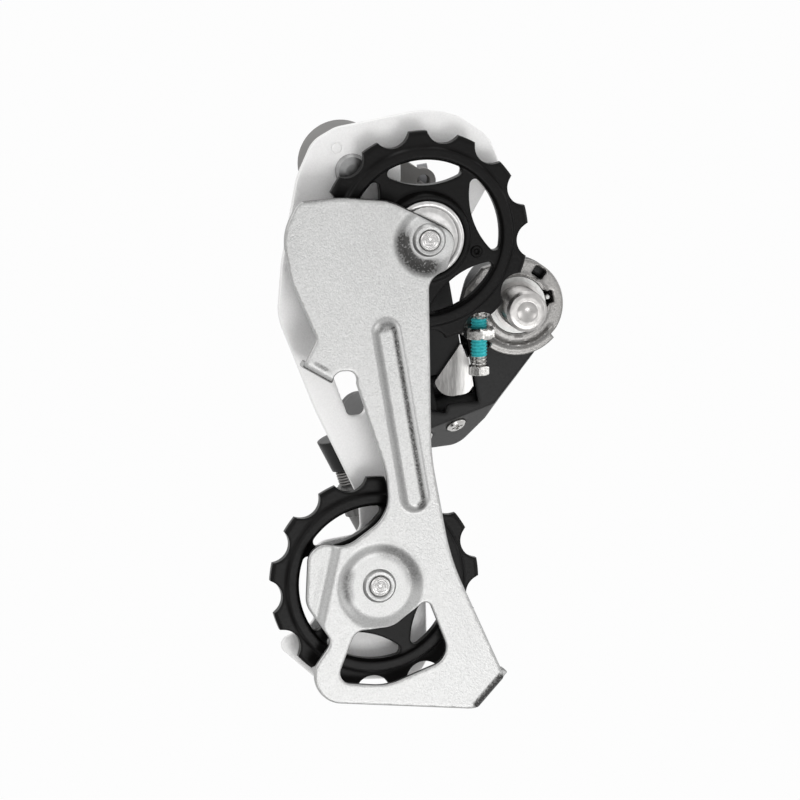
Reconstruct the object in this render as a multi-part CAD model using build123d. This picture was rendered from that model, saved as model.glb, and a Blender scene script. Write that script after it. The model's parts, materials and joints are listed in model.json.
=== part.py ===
from build123d import *
import os
from math import atan2, cos, degrees, radians, sin, sqrt

# Rear bicycle derailleur with a long cage, in millimetres.
# The origin is on the mounting bolt's axis, at the outboard face of the frame's hanger.
# +Y points outboard, away from the wheel, +Z from the tension pulley up to the guide pulley,
# and +X from the cage towards the hanger, with the cage at rest on its stop.

os.makedirs("parts", exist_ok=True)

# ---- fits ----------------------------------------------------------------------------------------
RUN_GAP = 0.05                 # radial clearance of a running fit
OPEN_PIVOT_GAP = 0.10          # radial clearance where the link loop is closed
FACE_GAP = 0.15                # beside a face that moves past another

# ---- pulleys -------------------------------------------------------------------------------------
TEETH = 13
CHAIN_PITCH = 12.7
ROLLER_RADIUS = 3.88
VALLEY_RADIUS = 4.4
TIP_RADIUS = 25.5
TOOTH_THICKNESS = 2.4
TOOTH_BEVEL = 0.7
RIM_THICKNESS = 4.4
RIM_INNER = 19.3
RIM_OUTER = 21.4
WEB_THICKNESS = 2.6
HUB_RADIUS = 10.4
HUB_LENGTH = 8.0
CAP_RADIUS = 9.1
CAP_THICKNESS = 0.5
CAP_SINK = 0.5                 # how far a dust cap's seat lies below the hub's end
WINDOWS = 5
WINDOW_DISTANCE = 15.5
WINDOW_LENGTH = 21.0
WINDOW_WIDTH = 6.2
WINDOW_ROUND = 1.3
BUSH_RADIUS = 3.6
GUIDE_TOOTH_ANGLE = 10.3
TENSION_TOOTH_ANGLE = 6.2
GUIDE_WINDOW_ANGLE = 90.0
TENSION_WINDOW_ANGLE = 116.0

# ---- cage ----------------------------------------------------------------------------------------
TENSION_DX, TENSION_DZ = -12.2, -83.3
P_AXIS_DX, P_AXIS_DZ = -16.5, 15.7      # the P-axis from the guide pulley
PULLEY_Y = -13.1
BOLT_GAP = 9.0                 # between the plates where the pulley bolts clamp them
PLATE = 1.6
DISH_DEPTH = 1.0
GUIDE_DISH_RADIUS = 9.0
TENSION_DISH_RADIUS = 10.8
RIB_WIDTH = 6.4
RIB_HEIGHT = 1.3
RIB_TOP = (-10.7, -21.8)       # from the guide pulley
RIB_LOW = (8.4, 21.1)          # from the tension pulley
FLANGE_RIGHT = (30.8, -23.6)   # from the tension pulley
FLANGE_LOW = (24.2, -30.9)
SKIRT_LOW = (-23.9, -33.9)     # from the guide pulley
SKIRT_LEFT = (-31.0, -29.7)
FLANGE_HEIGHT = 5.5
FLANGE_BULGE = 0.25            # how far a bend stands out past the plate's edge
FLANGE_TAB = 1.5
PULLEY_BOLT_RADIUS = 2.5
COLLAR_RADIUS = 3.7
BOLT_HEAD_RADIUS = 4.3
BOLT_HEAD_HEIGHT = 2.2
BOLT_KEY = 3.0
STOP_PIN_RADIUS = 1.9
STOP_PIN_DISTANCE = 13.4
STOP_PIN_ANGLE = 262.0
STOP_PIN_HEIGHT = 4.0
STOP_LUG_WIDTH = 4.0

# ---- P-knuckle -----------------------------------------------------------------------------------
P_BARREL_RADIUS = 10.2
P_BARREL_GAP = 0.3             # between the barrel and the outer plate
P_BARREL_BACK = 5.0
P_SHOULDER_DX, P_SHOULDER_DZ, P_SHOULDER_RADIUS = 2.5, -2.5, 8.8
P_SHOULDER_BACK = 12.0
P_CAVITY_RADIUS = 8.5
P_CAVITY_DEPTH = 9.5
P_AXLE_RADIUS = 3.5
P_AXLE_HEAD_RADIUS = 4.1
P_AXLE_HEAD_HEIGHT = 1.2
P_SPRING_RADIUS = 6.6
P_SPRING_WIRE = 1.4
LEG_SWELL = 0.05               # how much thicker a spring's leg is than its coils
LEG_LAP = 0.3                  # how far a leg runs into its end coil
P_HOOK_ANGLE = 123.0
P_ARM_FRONT = 3.5
P_ARM_BACK = 25.0
P_ARM_HEEL_DX, P_ARM_HEEL_DZ, P_ARM_HEEL_RADIUS = 6.0, -6.1, 7.5
P_ARM_END_DX, P_ARM_END_DZ = 16.6, -6.2
P_ARM_END_RADIUS = 4.8
EYE_DX, EYE_DZ = 20.3, -5.2
EYE_RADIUS = 3.1
EYE_HOLE_RADIUS = 1.6
EYE_THICKNESS = 3.0
AXLE_SCREW_RADIUS = 2.5
AXLE_SCREW_HEAD_RADIUS = 5.6
AXLE_SCREW_HEAD_HEIGHT = 2.0

# ---- mounting bolt, stopper plate and B-tension screw --------------------------------------------
THREAD_RADIUS = 5.0
THREAD_LENGTH = 10.0
THREAD_CHAMFER = 0.8
SHANK_RADIUS = 6.0
HEAD_RADIUS = 8.0
HEAD_HEIGHT = 4.0
MOUNT_KEY = 5.0
KEY_DEPTH = 3.0
SNAP_GROOVE_RADIUS = 5.3
SNAP_RING_RADIUS = 6.9
SNAP_RING_THICKNESS = 0.9
STOPPER_RADIUS = 11.2
STOPPER_THICKNESS = 2.0
SPRING_HOOK_ANGLE = 12.0
NOTCH_ANGLE = 56.0
NOTCH_SIZE = 2.4
LIP_RADIUS = 12.3
B_SCREW_X, B_SCREW_Y = -10.4, -3.4
B_SCREW_RADIUS = 2.0
B_SCREW_TIP_Z = 4.3
B_SCREW_HEAD_Z = -13.7
B_SCREW_HEAD_RADIUS = 2.75
B_SCREW_HEAD_HEIGHT = 2.2
EAR_Z = -5.7
EAR_THICKNESS = 2.4
EAR_LENGTH = 6.8
EAR_REACH = 6.5                # how far the ear stands inboard of the plate

# ---- B-knuckle -----------------------------------------------------------------------------------
B_FRONT = 2.5
B_DEPTH = 14.5
B_BEAM_BACK = 25.0
B_RING_RADIUS, B_RING_BACK = 11.2, 6.0
B_BARREL_RADIUS = 9.8
B_ELBOW_X, B_ELBOW_Z, B_ELBOW_RADIUS = -13.5, -31.5, 4.7
FLANK_DISTANCE, FLANK_ANGLE = 11.0, -38.5      # the flank plane from the bolt's axis at the front
FLANK_NORMAL = (0.737, -0.336, -0.587)
B_TAIL_X, B_TAIL_RADIUS = -32.0, 6.2
B_CAVITY_RADIUS = 8.5
B_CAVITY_DEPTH = 11.0
B_SPRING_RADIUS = 7.6
B_SPRING_WIRE = 1.2
FACET_TOP_Z = -27.4            # height at which the front face starts to slope back
FACET_NORMAL = (0.27, -0.58, -0.77)
LIMIT_SCREW_X = -14.7
LIMIT_SCREW_SPACING = 8.6
LIMIT_SCREW_RADIUS = 1.5
LIMIT_HEAD_RADIUS = 2.4
LIMIT_HEAD_HEIGHT = 1.3
LIMIT_SCREW_LENGTH = 2.6
LIMIT_SCREW_DROP = 3.6         # down the slope from its upper edge

# ---- parallelogram: u runs along the links, v outboard, w along the pins -------------------------
LINK_LENGTH = 42.0
LINK_ANGLE = 100.0             # links at rest, from +X towards +Z
SLANT = 10.0                   # lean of the pins, which takes the cage away from the hanger
B1_X, B1_Y, B1_Z = -22.5, 11.5, -20.5
SPREAD_U, SPREAD_V = 4.0, 14.0
P_FROM_LINK_X, P_FROM_LINK_Z = -13.007, 14.738  # the P-axis from the inner link's upper pin
PIN_RADIUS = 1.8
BARREL_RADIUS = 3.1
LUG_HALF_WIDTH = 9.6
STEM_HALF_WIDTH = 4.0
EAR_GAP = 0.1
EAR_WALL = 2.4
EAR_RADIUS = 4.2
WEB_WALL = 1.5
WEB_OFFSET = 4.6
WEB_RELIEF = 2.8               # how far from a pin a web stops, so that it clears the stem
SWING_GAP = 0.5
BRACKET_WALL = 1.4
BRACKET_DROP = 2.75
LINK_SPRING_WIRE = 0.9
LINK_SPRING_RADIUS = 3.8

# ---- cable side ----------------------------------------------------------------------------------
CABLE_X, CABLE_Y, CABLE_Z = -38.0, 28.0, -35.3
CABLE_ANGLE = -71.8            # direction in which the adjuster points, from +X towards +Z
BOSS_LENGTH = 7.8
BOSS_TOP_RADIUS, BOSS_END_RADIUS = 5.2, 3.9
ADJUSTER_THREAD_RADIUS = 2.5
ADJUSTER_THREAD_LENGTH = 10.5
ADJUSTER_STANDOFF = 4.4
ADJUSTER_RADIUS = 4.2
ADJUSTER_LENGTH = 7.2
ADJUSTER_GROOVES = 12
NOSE_LENGTH = 4.2
NOSE_RADIUS = 2.9
HOUSING_RADIUS = 2.1
HOUSING_DEPTH = 8.0
WIRE_HOLE_RADIUS = 0.9
CLAMP_U = 15.0                 # cable clamp, from the outer link's lower pin
CLAMP_W = -17.0
CLAMP_BOLT_RADIUS = 2.5
CLAMP_HEAD_RADIUS = 4.0
CLAMP_HEAD_HEIGHT = 3.0
CLAMP_KEY = 4.0
CLAMP_WASHER_RADIUS = 4.8
CLAMP_WASHER = 1.2

# ---- places worked out from them -----------------------------------------------------------------
P_X = B1_X + LINK_LENGTH * cos(radians(LINK_ANGLE)) + P_FROM_LINK_X
P_Z = B1_Z + LINK_LENGTH * sin(radians(LINK_ANGLE)) + P_FROM_LINK_Z
GUIDE_X, GUIDE_Z = P_X - P_AXIS_DX, P_Z - P_AXIS_DZ
TENSION_X, TENSION_Z = GUIDE_X + TENSION_DX, GUIDE_Z + TENSION_DZ
OUTER_IN = PULLEY_Y + BOLT_GAP / 2          # the outer plate's inboard face
OUTER_OUT = OUTER_IN + PLATE
INNER_OUT = PULLEY_Y - BOLT_GAP / 2 - DISH_DEPTH   # the inner plate's face towards the pulleys
INNER_IN = INNER_OUT - PLATE
P_FRONT = OUTER_OUT + P_BARREL_GAP
P_BACK = P_SHOULDER_BACK
B_BACK = B_FRONT + B_DEPTH
PITCH_ANGLE = 360 / TEETH
ROOT_RADIUS = CHAIN_PITCH / (2 * sin(radians(PITCH_ANGLE / 2))) - ROLLER_RADIUS
LINK_HALF_WIDTH = LUG_HALF_WIDTH + EAR_GAP + EAR_WALL
BRACKET_RIGHT = LINK_HALF_WIDTH + BRACKET_WALL
SWEEP_RADIUS = sqrt((WEB_OFFSET + WEB_WALL + BRACKET_WALL) ** 2 + BRACKET_DROP ** 2) + SWING_GAP

ALONG = Vector(cos(radians(LINK_ANGLE)), 0, sin(radians(LINK_ANGLE)))
ACROSS = Vector(sin(radians(LINK_ANGLE)) * cos(radians(SLANT)), -sin(radians(SLANT)),
                -cos(radians(LINK_ANGLE)) * cos(radians(SLANT)))
LINKS = Plane(origin=(B1_X, B1_Y, B1_Z), x_dir=ALONG, z_dir=-ACROSS).location
B1, B2 = (0, 0), (SPREAD_U, SPREAD_V)
P1, P2 = (LINK_LENGTH, 0), (LINK_LENGTH + SPREAD_U, SPREAD_V)
CABLE = Plane(origin=(CABLE_X, CABLE_Y, CABLE_Z), x_dir=(0, 1, 0),
              z_dir=(cos(radians(CABLE_ANGLE)), 0, sin(radians(CABLE_ANGLE)))).location


# ---- helpers -------------------------------------------------------------------------------------
def run_of(start, end):
    """Length and heading in degrees of the line from one point to another."""
    across, up = end[0] - start[0], end[1] - start[1]
    return sqrt(across ** 2 + up ** 2), degrees(atan2(up, across))


def slab(sketch, low, high):
    """A sketch drawn in X and Z, made solid between two depths along Y."""
    face_plane = Plane(origin=(0, high, 0), x_dir=(1, 0, 0), z_dir=(0, -1, 0))
    return extrude(face_plane * sketch, high - low)


def disc(x, z, radius):
    return Pos(x, z) * Circle(radius)


def rod(x, z, radius, low, high):
    """A cylinder along Y."""
    return slab(disc(x, z, radius), low, high)


def turned(x, z, profile):
    """A solid of revolution about an axis along Y, from (radius, y) points."""
    return Pos(x, 0, z) * revolve(make_face(Polyline(*profile, close=True)), Axis.Y)


def spun(profile):
    """A solid of revolution about the local Z axis, from (radius, z) points."""
    points = [(radius, 0, height) for radius, height in profile]
    return revolve(make_face(Polyline(*points, close=True)), Axis.Z)


def outline(corners, x=0.0, z=0.0):
    """A closed outline of straight runs with a rounding at each corner: (x, z, radius)."""
    points = [(x + across, z + up) for across, up, radius in corners]
    return make_face(FilletPolyline(*points, radius=[corner[2] for corner in corners], close=True))


def hull(*shapes):
    """The sketch that a string pulled round the shapes would enclose."""
    edges = [edge for shape in shapes for edge in shape.edges()]
    return make_hull(edges)


def polar(distance, angle, x=0.0, z=0.0):
    return x + distance * cos(radians(angle)), z + distance * sin(radians(angle))


def pillar(place, radius, low, high):
    """A cylinder along the pins' direction at a (u, v) place, between two w."""
    return LINKS * Pos(place[0], place[1], -high) * extrude(Circle(radius), high - low)


def link_block(u_low, u_high, v_low, v_high, w_low, w_high):
    """A box set along the links."""
    size = (u_high - u_low, v_high - v_low, w_high - w_low)
    centre = Pos((u_low + u_high) / 2, (v_low + v_high) / 2, -(w_low + w_high) / 2)
    return LINKS * centre * Box(*size)


def link_slab(sketch, w_low, w_high):
    """A sketch drawn in u and v, made solid between two w."""
    return LINKS * Pos(0, 0, -w_high) * extrude(sketch, w_high - w_low)


def coil(radius, wire, pitch, turns):
    """A helical wire that stands on the local XY plane and starts on +X."""
    path = Helix(pitch=pitch, height=pitch * turns, radius=radius)
    start = Plane(origin=path @ 0, z_dir=path % 0)
    return sweep(start * Circle(wire / 2), path=path, is_frenet=True)


def hex_socket(size, depth):
    """A hexagonal key socket that goes down from the local XY plane."""
    return Pos(0, 0, -depth) * extrude(RegularPolygon(size / 2, 6, major_radius=False), depth)


# ---- pulleys -------------------------------------------------------------------------------------
def pulley_body(tooth_angle, window_angle):
    """A toothed pulley about the local Z axis, centred on the local XY plane."""
    half_tooth, half_rim, half_web = TOOTH_THICKNESS / 2, RIM_THICKNESS / 2, WEB_THICKNESS / 2
    half_hub, seat = HUB_LENGTH / 2, HUB_LENGTH / 2 - CAP_SINK
    bore = BUSH_RADIUS + RUN_GAP
    cap_seat = CAP_RADIUS + 2 * FACE_GAP
    half = [(bore, seat), (cap_seat, seat), (cap_seat, half_hub), (HUB_RADIUS, half_hub),
            (HUB_RADIUS + 0.8, half_web), (RIM_INNER - 0.4, half_web), (RIM_INNER, half_rim),
            (RIM_OUTER, half_rim), (RIM_OUTER + 0.6, half_tooth), (TIP_RADIUS - TOOTH_BEVEL, half_tooth),
            (TIP_RADIUS, half_tooth - TOOTH_BEVEL / 2)]
    body = spun(half + [(radius, -height) for radius, height in reversed(half)])
    valley_distance = ROOT_RADIUS + VALLEY_RADIUS
    for tooth in range(TEETH):
        angle = tooth_angle + PITCH_ANGLE * (tooth + 0.5)
        body -= Rot(0, 0, angle) * Pos(valley_distance, 0) * Cylinder(VALLEY_RADIUS, RIM_THICKNESS)
    arc = (WINDOW_LENGTH ** 2 / 4 + WINDOW_WIDTH ** 2 / 4) / WINDOW_WIDTH
    lens = disc(0, arc - WINDOW_WIDTH / 2, arc) & disc(0, WINDOW_WIDTH / 2 - arc, arc)
    lens = fillet(lens.vertices(), WINDOW_ROUND)
    hole = Pos(0, 0, -half_rim) * extrude(lens, RIM_THICKNESS)
    for window in range(WINDOWS):
        angle = window_angle + 360 / WINDOWS * window
        body -= Rot(0, 0, angle) * Pos(WINDOW_DISTANCE, 0) * Rot(0, 0, 90) * hole
    return body


def pulley(x, z, tooth_angle, window_angle):
    place = Plane(origin=(x, PULLEY_Y, z), x_dir=(1, 0, 0), z_dir=(0, -1, 0)).location
    return place * pulley_body(tooth_angle, window_angle)


def dust_caps(x, z):
    """The two pressed caps that cover the ends of a pulley's hub."""
    near = HUB_LENGTH / 2 - CAP_SINK + FACE_GAP
    caps = []
    for side in (-1, 1):
        low, high = sorted((PULLEY_Y + side * near, PULLEY_Y + side * (near + CAP_THICKNESS)))
        caps.append(rod(x, z, CAP_RADIUS, low, high) - rod(x, z, BUSH_RADIUS, low, high))
    return Compound(children=caps)


def pulley_bushes():
    low, high = PULLEY_Y - BOLT_GAP / 2, PULLEY_Y + BOLT_GAP / 2
    return Compound(children=[
        rod(x, z, BUSH_RADIUS, low, high) - rod(x, z, PULLEY_BOLT_RADIUS + RUN_GAP, low, high)
        for x, z in ((GUIDE_X, GUIDE_Z), (TENSION_X, TENSION_Z))])


def pulley_bolt(x, z):
    """A button-head bolt put in from outboard, its end just proud of the inner plate."""
    end, head = INNER_IN - 0.3, OUTER_OUT + BOLT_HEAD_HEIGHT
    profile = [(0, end), (PULLEY_BOLT_RADIUS - 0.4, end), (PULLEY_BOLT_RADIUS, end + 0.4),
               (PULLEY_BOLT_RADIUS, OUTER_OUT), (BOLT_HEAD_RADIUS, OUTER_OUT),
               (BOLT_HEAD_RADIUS, head - 0.8), (BOLT_HEAD_RADIUS - 0.8, head), (0, head)]
    key_place = Plane(origin=(x, head, z), x_dir=(1, 0, 0), z_dir=(0, 1, 0)).location
    return turned(x, z, profile) - key_place * hex_socket(BOLT_KEY, BOLT_HEAD_HEIGHT * 0.7)


def pulley_bolts():
    return Compound(children=[pulley_bolt(GUIDE_X, GUIDE_Z), pulley_bolt(TENSION_X, TENSION_Z)])


# ---- cage plates ---------------------------------------------------------------------------------
def from_guide(*corners):
    return [(GUIDE_X + x, GUIDE_Z + z, radius) for x, z, radius in corners]


def from_tension(*corners):
    return [(TENSION_X + x, TENSION_Z + z, radius) for x, z, radius in corners]


def inner_outline():
    """Wide at the guide pulley, a waist, and a triangular foot below the tension pulley."""
    top = from_guide((-32.3, 10.4, 3.2), (-21.0, 11.1, 30.0), (-9.5, 9.9, 14.0), (7.4, 1.0, 4.5),
                     (4.4, -6.9, 3.0), (-0.2, -9.6, 4.0), (0.4, -52.0, 60.0))
    foot = from_tension((17.4, 6.0, 60.0), (*FLANGE_RIGHT, 0.5), (*FLANGE_LOW, 0.5),
                        (-17.0, -27.5, 7.0), (-15.8, -18.8, 4.0), (-11.8, -13.0, 2.5),
                        (-17.9, -4.0, 6.0), (-17.2, 12.4, 4.5), (-8.6, 9.3, 7.0),
                        (2.3, 17.2, 9.0), (1.6, 27.5, 20.0))
    side = from_guide((-17.9, -34.0, 2.0), (-17.4, -30.8, 2.4), (-23.2, -30.8, 2.6), (*SKIRT_LOW, 0.4),
                      (*SKIRT_LEFT, 0.5), (-27.5, -22.8, 1.5), (-33.8, -8.6, 12.0), (-36.0, 2.5, 12.0))
    return outline(top + foot + side)


def foot_window():
    return outline(from_tension((11.8, -3.4, 1.6), (17.5, -18.0, 4.5), (1.5, -24.2, 14.0),
                                (-10.8, -22.9, 2.6), (-6.0, -10.7, 3.2), (3.2, -9.9, 7.0)))


def edge_flange(start, end, low, high, extra=0.0):
    """A flange bent back from a straight edge that runs from start to end, and on past the start."""
    length, turn = run_of(start, end)
    middle = ((start[0] + end[0]) / 2, (start[1] + end[1]) / 2)
    shift = Pos(-extra / 2, FLANGE_BULGE - PLATE / 2)
    strip = Pos(*middle) * Rot(0, 0, turn) * shift * Rectangle(length + extra, PLATE)
    return slab(strip, low, high)


def inner_plate():
    """Pressed plate: dished round both bolts, with a raised rib and two bent edges."""
    shape = inner_outline()
    plate = slab(shape - foot_window(), INNER_IN, INNER_OUT)
    back_layer = slab(shape, INNER_OUT, INNER_OUT + DISH_DEPTH)
    for x, z, radius in ((GUIDE_X, GUIDE_Z, GUIDE_DISH_RADIUS), (TENSION_X, TENSION_Z, TENSION_DISH_RADIUS)):
        slope = radius - 2.2
        plate -= turned(x, z, [(0, INNER_IN), (radius, INNER_IN), (slope, INNER_IN + DISH_DEPTH),
                               (0, INNER_IN + DISH_DEPTH)])
        plate += back_layer & turned(x, z, [(0, INNER_OUT), (radius - 0.6, INNER_OUT),
                                            (slope - 0.6, INNER_OUT + DISH_DEPTH),
                                            (0, INNER_OUT + DISH_DEPTH)])
        plate += rod(x, z, COLLAR_RADIUS, INNER_IN, INNER_IN + DISH_DEPTH)
        plate -= rod(x, z, PULLEY_BOLT_RADIUS, INNER_IN - 1, INNER_OUT + DISH_DEPTH)
    rib_top = (GUIDE_X + RIB_TOP[0], GUIDE_Z + RIB_TOP[1])
    rib_low = (TENSION_X + RIB_LOW[0], TENSION_Z + RIB_LOW[1])
    length, angle = run_of(rib_top, rib_low)
    place = Pos((rib_top[0] + rib_low[0]) / 2, (rib_top[1] + rib_low[1]) / 2)
    slot = place * SlotCenterToCenter(length, RIB_WIDTH, rotation=angle)
    inner_slot = place * SlotCenterToCenter(length, RIB_WIDTH - 2.4, rotation=angle)
    face_plane = Plane(origin=(0, INNER_IN, 0), x_dir=(1, 0, 0), z_dir=(0, -1, 0))
    plate += extrude(face_plane * slot, RIB_HEIGHT, taper=40)
    plate -= slab(inner_slot, INNER_OUT - RIB_HEIGHT, INNER_OUT)
    foot_edge = [(TENSION_X + x, TENSION_Z + z) for x, z in (FLANGE_RIGHT, FLANGE_LOW)]
    skirt_edge = [(GUIDE_X + x, GUIDE_Z + z) for x, z in (SKIRT_LOW, SKIRT_LEFT)]
    for (start, end), extra in ((foot_edge, FLANGE_TAB), (skirt_edge, 0)):
        plate += edge_flange(start, end, INNER_OUT - PLATE / 2, INNER_OUT + FLANGE_HEIGHT - PLATE, extra)
    return plate


def outer_outline():
    """Guard round the guide pulley, a strut, and a foot below the tension pulley."""
    top = from_guide((-29.9, 14.5, 20.0), (-26.9, 24.2, 8.0), (-20.5, 27.3, 8.0), (1.0, 29.8, 24.0),
                     (9.0, 28.4, 14.0), (17.0, 22.8, 8.0), (19.9, 16.0, 4.0), (11.5, 1.5, 8.0),
                     (-3.5, -22.0, 40.0), (-3.0, -52.0, 40.0))
    foot = from_tension((13.5, 8.0, 12.0), (14.5, -25.0, 6.0), (-12.5, -24.5, 5.0), (-23.2, -15.0, 2.2),
                        (-13.2, -10.0, 3.0), (-14.6, 9.0, 5.0), (-2.0, 10.8, 3.0), (-2.6, 19.5, 10.0))
    side = from_guide((-25.5, -41.8, 60.0), (-34.6, -19.0, 14.0), (-33.6, -6.0, 30.0))
    return outline(top + foot + side)


def outer_plate():
    """Flat plate that carries the P-axle, with a slot, a guard window and the spring's hook hole."""
    slot = outline(from_guide((-22.2, -30.8, 2.2), (-12.8, -30.8, 2.2), (-13.4, -43.6, 1.7),
                              (-17.4, -43.8, 1.7)))
    window = outline(from_guide((-4.5, 10.2, 2.0), (9.0, 10.2, 3.0), (11.4, 20.4, 4.0),
                                (-4.5, 21.6, 2.0)))
    plate = slab(outer_outline() - slot - window, OUTER_IN, OUTER_OUT)
    for x, z in ((GUIDE_X, GUIDE_Z), (TENSION_X, TENSION_Z)):
        plate -= rod(x, z, PULLEY_BOLT_RADIUS + RUN_GAP, OUTER_IN, OUTER_OUT)
    plate -= rod(P_X, P_Z, P_AXLE_RADIUS, OUTER_IN, OUTER_OUT)
    hook = polar(P_SPRING_RADIUS, P_HOOK_ANGLE, P_X, P_Z)
    plate -= rod(*hook, P_SPRING_WIRE / 2 + FACE_GAP, OUTER_IN, OUTER_OUT)
    pin = polar(STOP_PIN_DISTANCE, STOP_PIN_ANGLE, P_X, P_Z)
    plate -= rod(*pin, STOP_PIN_RADIUS / 2, OUTER_IN, OUTER_OUT)
    return plate


def cage_stop_pin():
    """Riveted into the outer plate. It meets the lug on the P-knuckle at rest."""
    x, z = polar(STOP_PIN_DISTANCE, STOP_PIN_ANGLE, P_X, P_Z)
    pin = rod(x, z, STOP_PIN_RADIUS, OUTER_OUT, OUTER_OUT + STOP_PIN_HEIGHT)
    return pin + rod(x, z, STOP_PIN_RADIUS / 2, OUTER_IN, OUTER_OUT)


# ---- P-knuckle -----------------------------------------------------------------------------------
def lug(place_1, place_2, stem):
    """Two bored barrels for a pair of pins, joined by a narrow web and a stem."""
    circles = [Pos(*place) * Circle(BARREL_RADIUS) for place in (place_1, place_2)]
    body = link_slab(hull(*circles), -STEM_HALF_WIDTH, STEM_HALF_WIDTH)
    body += link_slab(hull(*circles, stem), -STEM_HALF_WIDTH, STEM_HALF_WIDTH)
    for place in (place_1, place_2):
        body += pillar(place, BARREL_RADIUS, -LUG_HALF_WIDTH, LUG_HALF_WIDTH)
    return body


def p_knuckle():
    """Barrel for the P-spring, an arm to the links' upper pins, a stop lug and an eye."""
    shoulder = disc(P_X + P_SHOULDER_DX, P_Z + P_SHOULDER_DZ, P_SHOULDER_RADIUS)
    heel = disc(P_X + P_ARM_HEEL_DX, P_Z + P_ARM_HEEL_DZ, P_ARM_HEEL_RADIUS)
    arm_end = disc(P_X + P_ARM_END_DX, P_Z + P_ARM_END_DZ, P_ARM_END_RADIUS)
    body = slab(hull(heel, arm_end), P_ARM_FRONT, P_ARM_BACK)
    body += slab(hull(shoulder, arm_end), P_ARM_FRONT, P_SHOULDER_BACK)
    body += rod(P_X, P_Z, P_BARREL_RADIUS, P_FRONT, P_BARREL_BACK)
    reach = 60
    body -= link_block(-reach, LINK_LENGTH + EAR_RADIUS + SWING_GAP, -reach, reach,
                       -LINK_HALF_WIDTH - SWING_GAP, LINK_HALF_WIDTH + SWING_GAP)
    for place in (P1, P2):
        for side in (-1, 1):
            low, high = sorted((side * LUG_HALF_WIDTH, side * (LINK_HALF_WIDTH + SWING_GAP)))
            body -= pillar(place, EAR_RADIUS + SWING_GAP, low, high)
    stem = Pos(LINK_LENGTH + 9, 9) * Rectangle(4, 14)
    body += lug(P1, P2, stem)
    body -= pillar(P1, PIN_RADIUS + RUN_GAP, -reach, reach)
    body -= pillar(P2, PIN_RADIUS + OPEN_PIVOT_GAP, -reach, reach)
    eye_x, eye_z = P_X + EYE_DX, P_Z + EYE_DZ
    eye = hull(disc(eye_x, eye_z, EYE_RADIUS), disc(P_X + P_ARM_END_DX, P_Z + P_ARM_END_DZ, EYE_RADIUS))
    body += slab(eye, P_ARM_FRONT, P_ARM_FRONT + EYE_THICKNESS)
    body -= rod(eye_x, eye_z, EYE_HOLE_RADIUS, P_ARM_FRONT, P_BACK)
    gap_angle = degrees((STOP_PIN_RADIUS + FACE_GAP + STOP_LUG_WIDTH / 2) / STOP_PIN_DISTANCE)
    stop = Pos(STOP_PIN_DISTANCE / 2 + 1.2, 0) * Rectangle(STOP_PIN_DISTANCE + 2.4, STOP_LUG_WIDTH)
    stop = Pos(P_X, P_Z) * Rot(0, 0, STOP_PIN_ANGLE + gap_angle) * stop
    body += slab(stop, P_FRONT, P_FRONT + STOP_PIN_HEIGHT)
    body -= rod(P_X, P_Z, P_CAVITY_RADIUS, P_FRONT, P_FRONT + P_CAVITY_DEPTH)
    body -= rod(P_X, P_Z, P_AXLE_RADIUS + RUN_GAP, P_FRONT, P_BACK)
    body -= rod(P_X, P_Z, AXLE_SCREW_HEAD_RADIUS + 2 * FACE_GAP, P_BACK, P_ARM_BACK)
    hook = polar(P_SPRING_RADIUS, P_HOOK_ANGLE, P_X, P_Z)
    return body - rod(*hook, P_SPRING_WIRE / 2 + FACE_GAP, P_FRONT, P_FRONT + P_CAVITY_DEPTH + 3)


def p_axle():
    """Riveted to the outer plate with a low domed head, and threaded inside at its far end."""
    head = OUTER_IN - P_AXLE_HEAD_HEIGHT
    profile = [(0, head), (P_AXLE_HEAD_RADIUS - 2.4, head), (P_AXLE_HEAD_RADIUS - 0.7, head + 0.3),
               (P_AXLE_HEAD_RADIUS, OUTER_IN), (P_AXLE_RADIUS, OUTER_IN), (P_AXLE_RADIUS, P_BACK + FACE_GAP),
               (0, P_BACK + FACE_GAP)]
    hole = rod(P_X, P_Z, AXLE_SCREW_RADIUS, P_BACK - 9, P_BACK + FACE_GAP)
    return turned(P_X, P_Z, profile) - hole


def p_axle_screw():
    """Keeps the knuckle on its axle."""
    seat = P_BACK + FACE_GAP
    top = seat + AXLE_SCREW_HEAD_HEIGHT
    profile = [(0, P_BACK - 8), (AXLE_SCREW_RADIUS, P_BACK - 8), (AXLE_SCREW_RADIUS, seat),
               (AXLE_SCREW_HEAD_RADIUS, seat), (AXLE_SCREW_HEAD_RADIUS, top - 0.6),
               (AXLE_SCREW_HEAD_RADIUS - 0.6, top), (0, top)]
    key_place = Plane(origin=(P_X, top, P_Z), x_dir=(1, 0, 0), z_dir=(0, 1, 0)).location
    return turned(P_X, P_Z, profile) - key_place * hex_socket(BOLT_KEY, 1.6)


def spring_along_y(x, z, low, radius, wire, pitch, turns, angle, leg_low, leg_high):
    """A torsion spring about an axis along Y, whose ends are turned along the axis into holes."""
    place = Plane(origin=(x, low, z), x_dir=(cos(radians(angle)), 0, sin(radians(angle))),
                  z_dir=(0, 1, 0)).location
    body = place * coil(radius, wire, pitch, turns)
    foot = polar(radius, angle, x, z)
    top = low + pitch * turns
    body += rod(*foot, wire / 2 + LEG_SWELL, leg_low, low + LEG_LAP)
    return body + rod(*foot, wire / 2 + LEG_SWELL, top - LEG_LAP, leg_high)


def p_spring():
    turns = 4
    low = P_FRONT + P_SPRING_WIRE
    pitch = (P_CAVITY_DEPTH - 2 * P_SPRING_WIRE) / turns
    return spring_along_y(P_X, P_Z, low, P_SPRING_RADIUS, P_SPRING_WIRE, pitch, turns, P_HOOK_ANGLE,
                          OUTER_IN + RUN_GAP, P_FRONT + P_CAVITY_DEPTH + 1.8)


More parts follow.
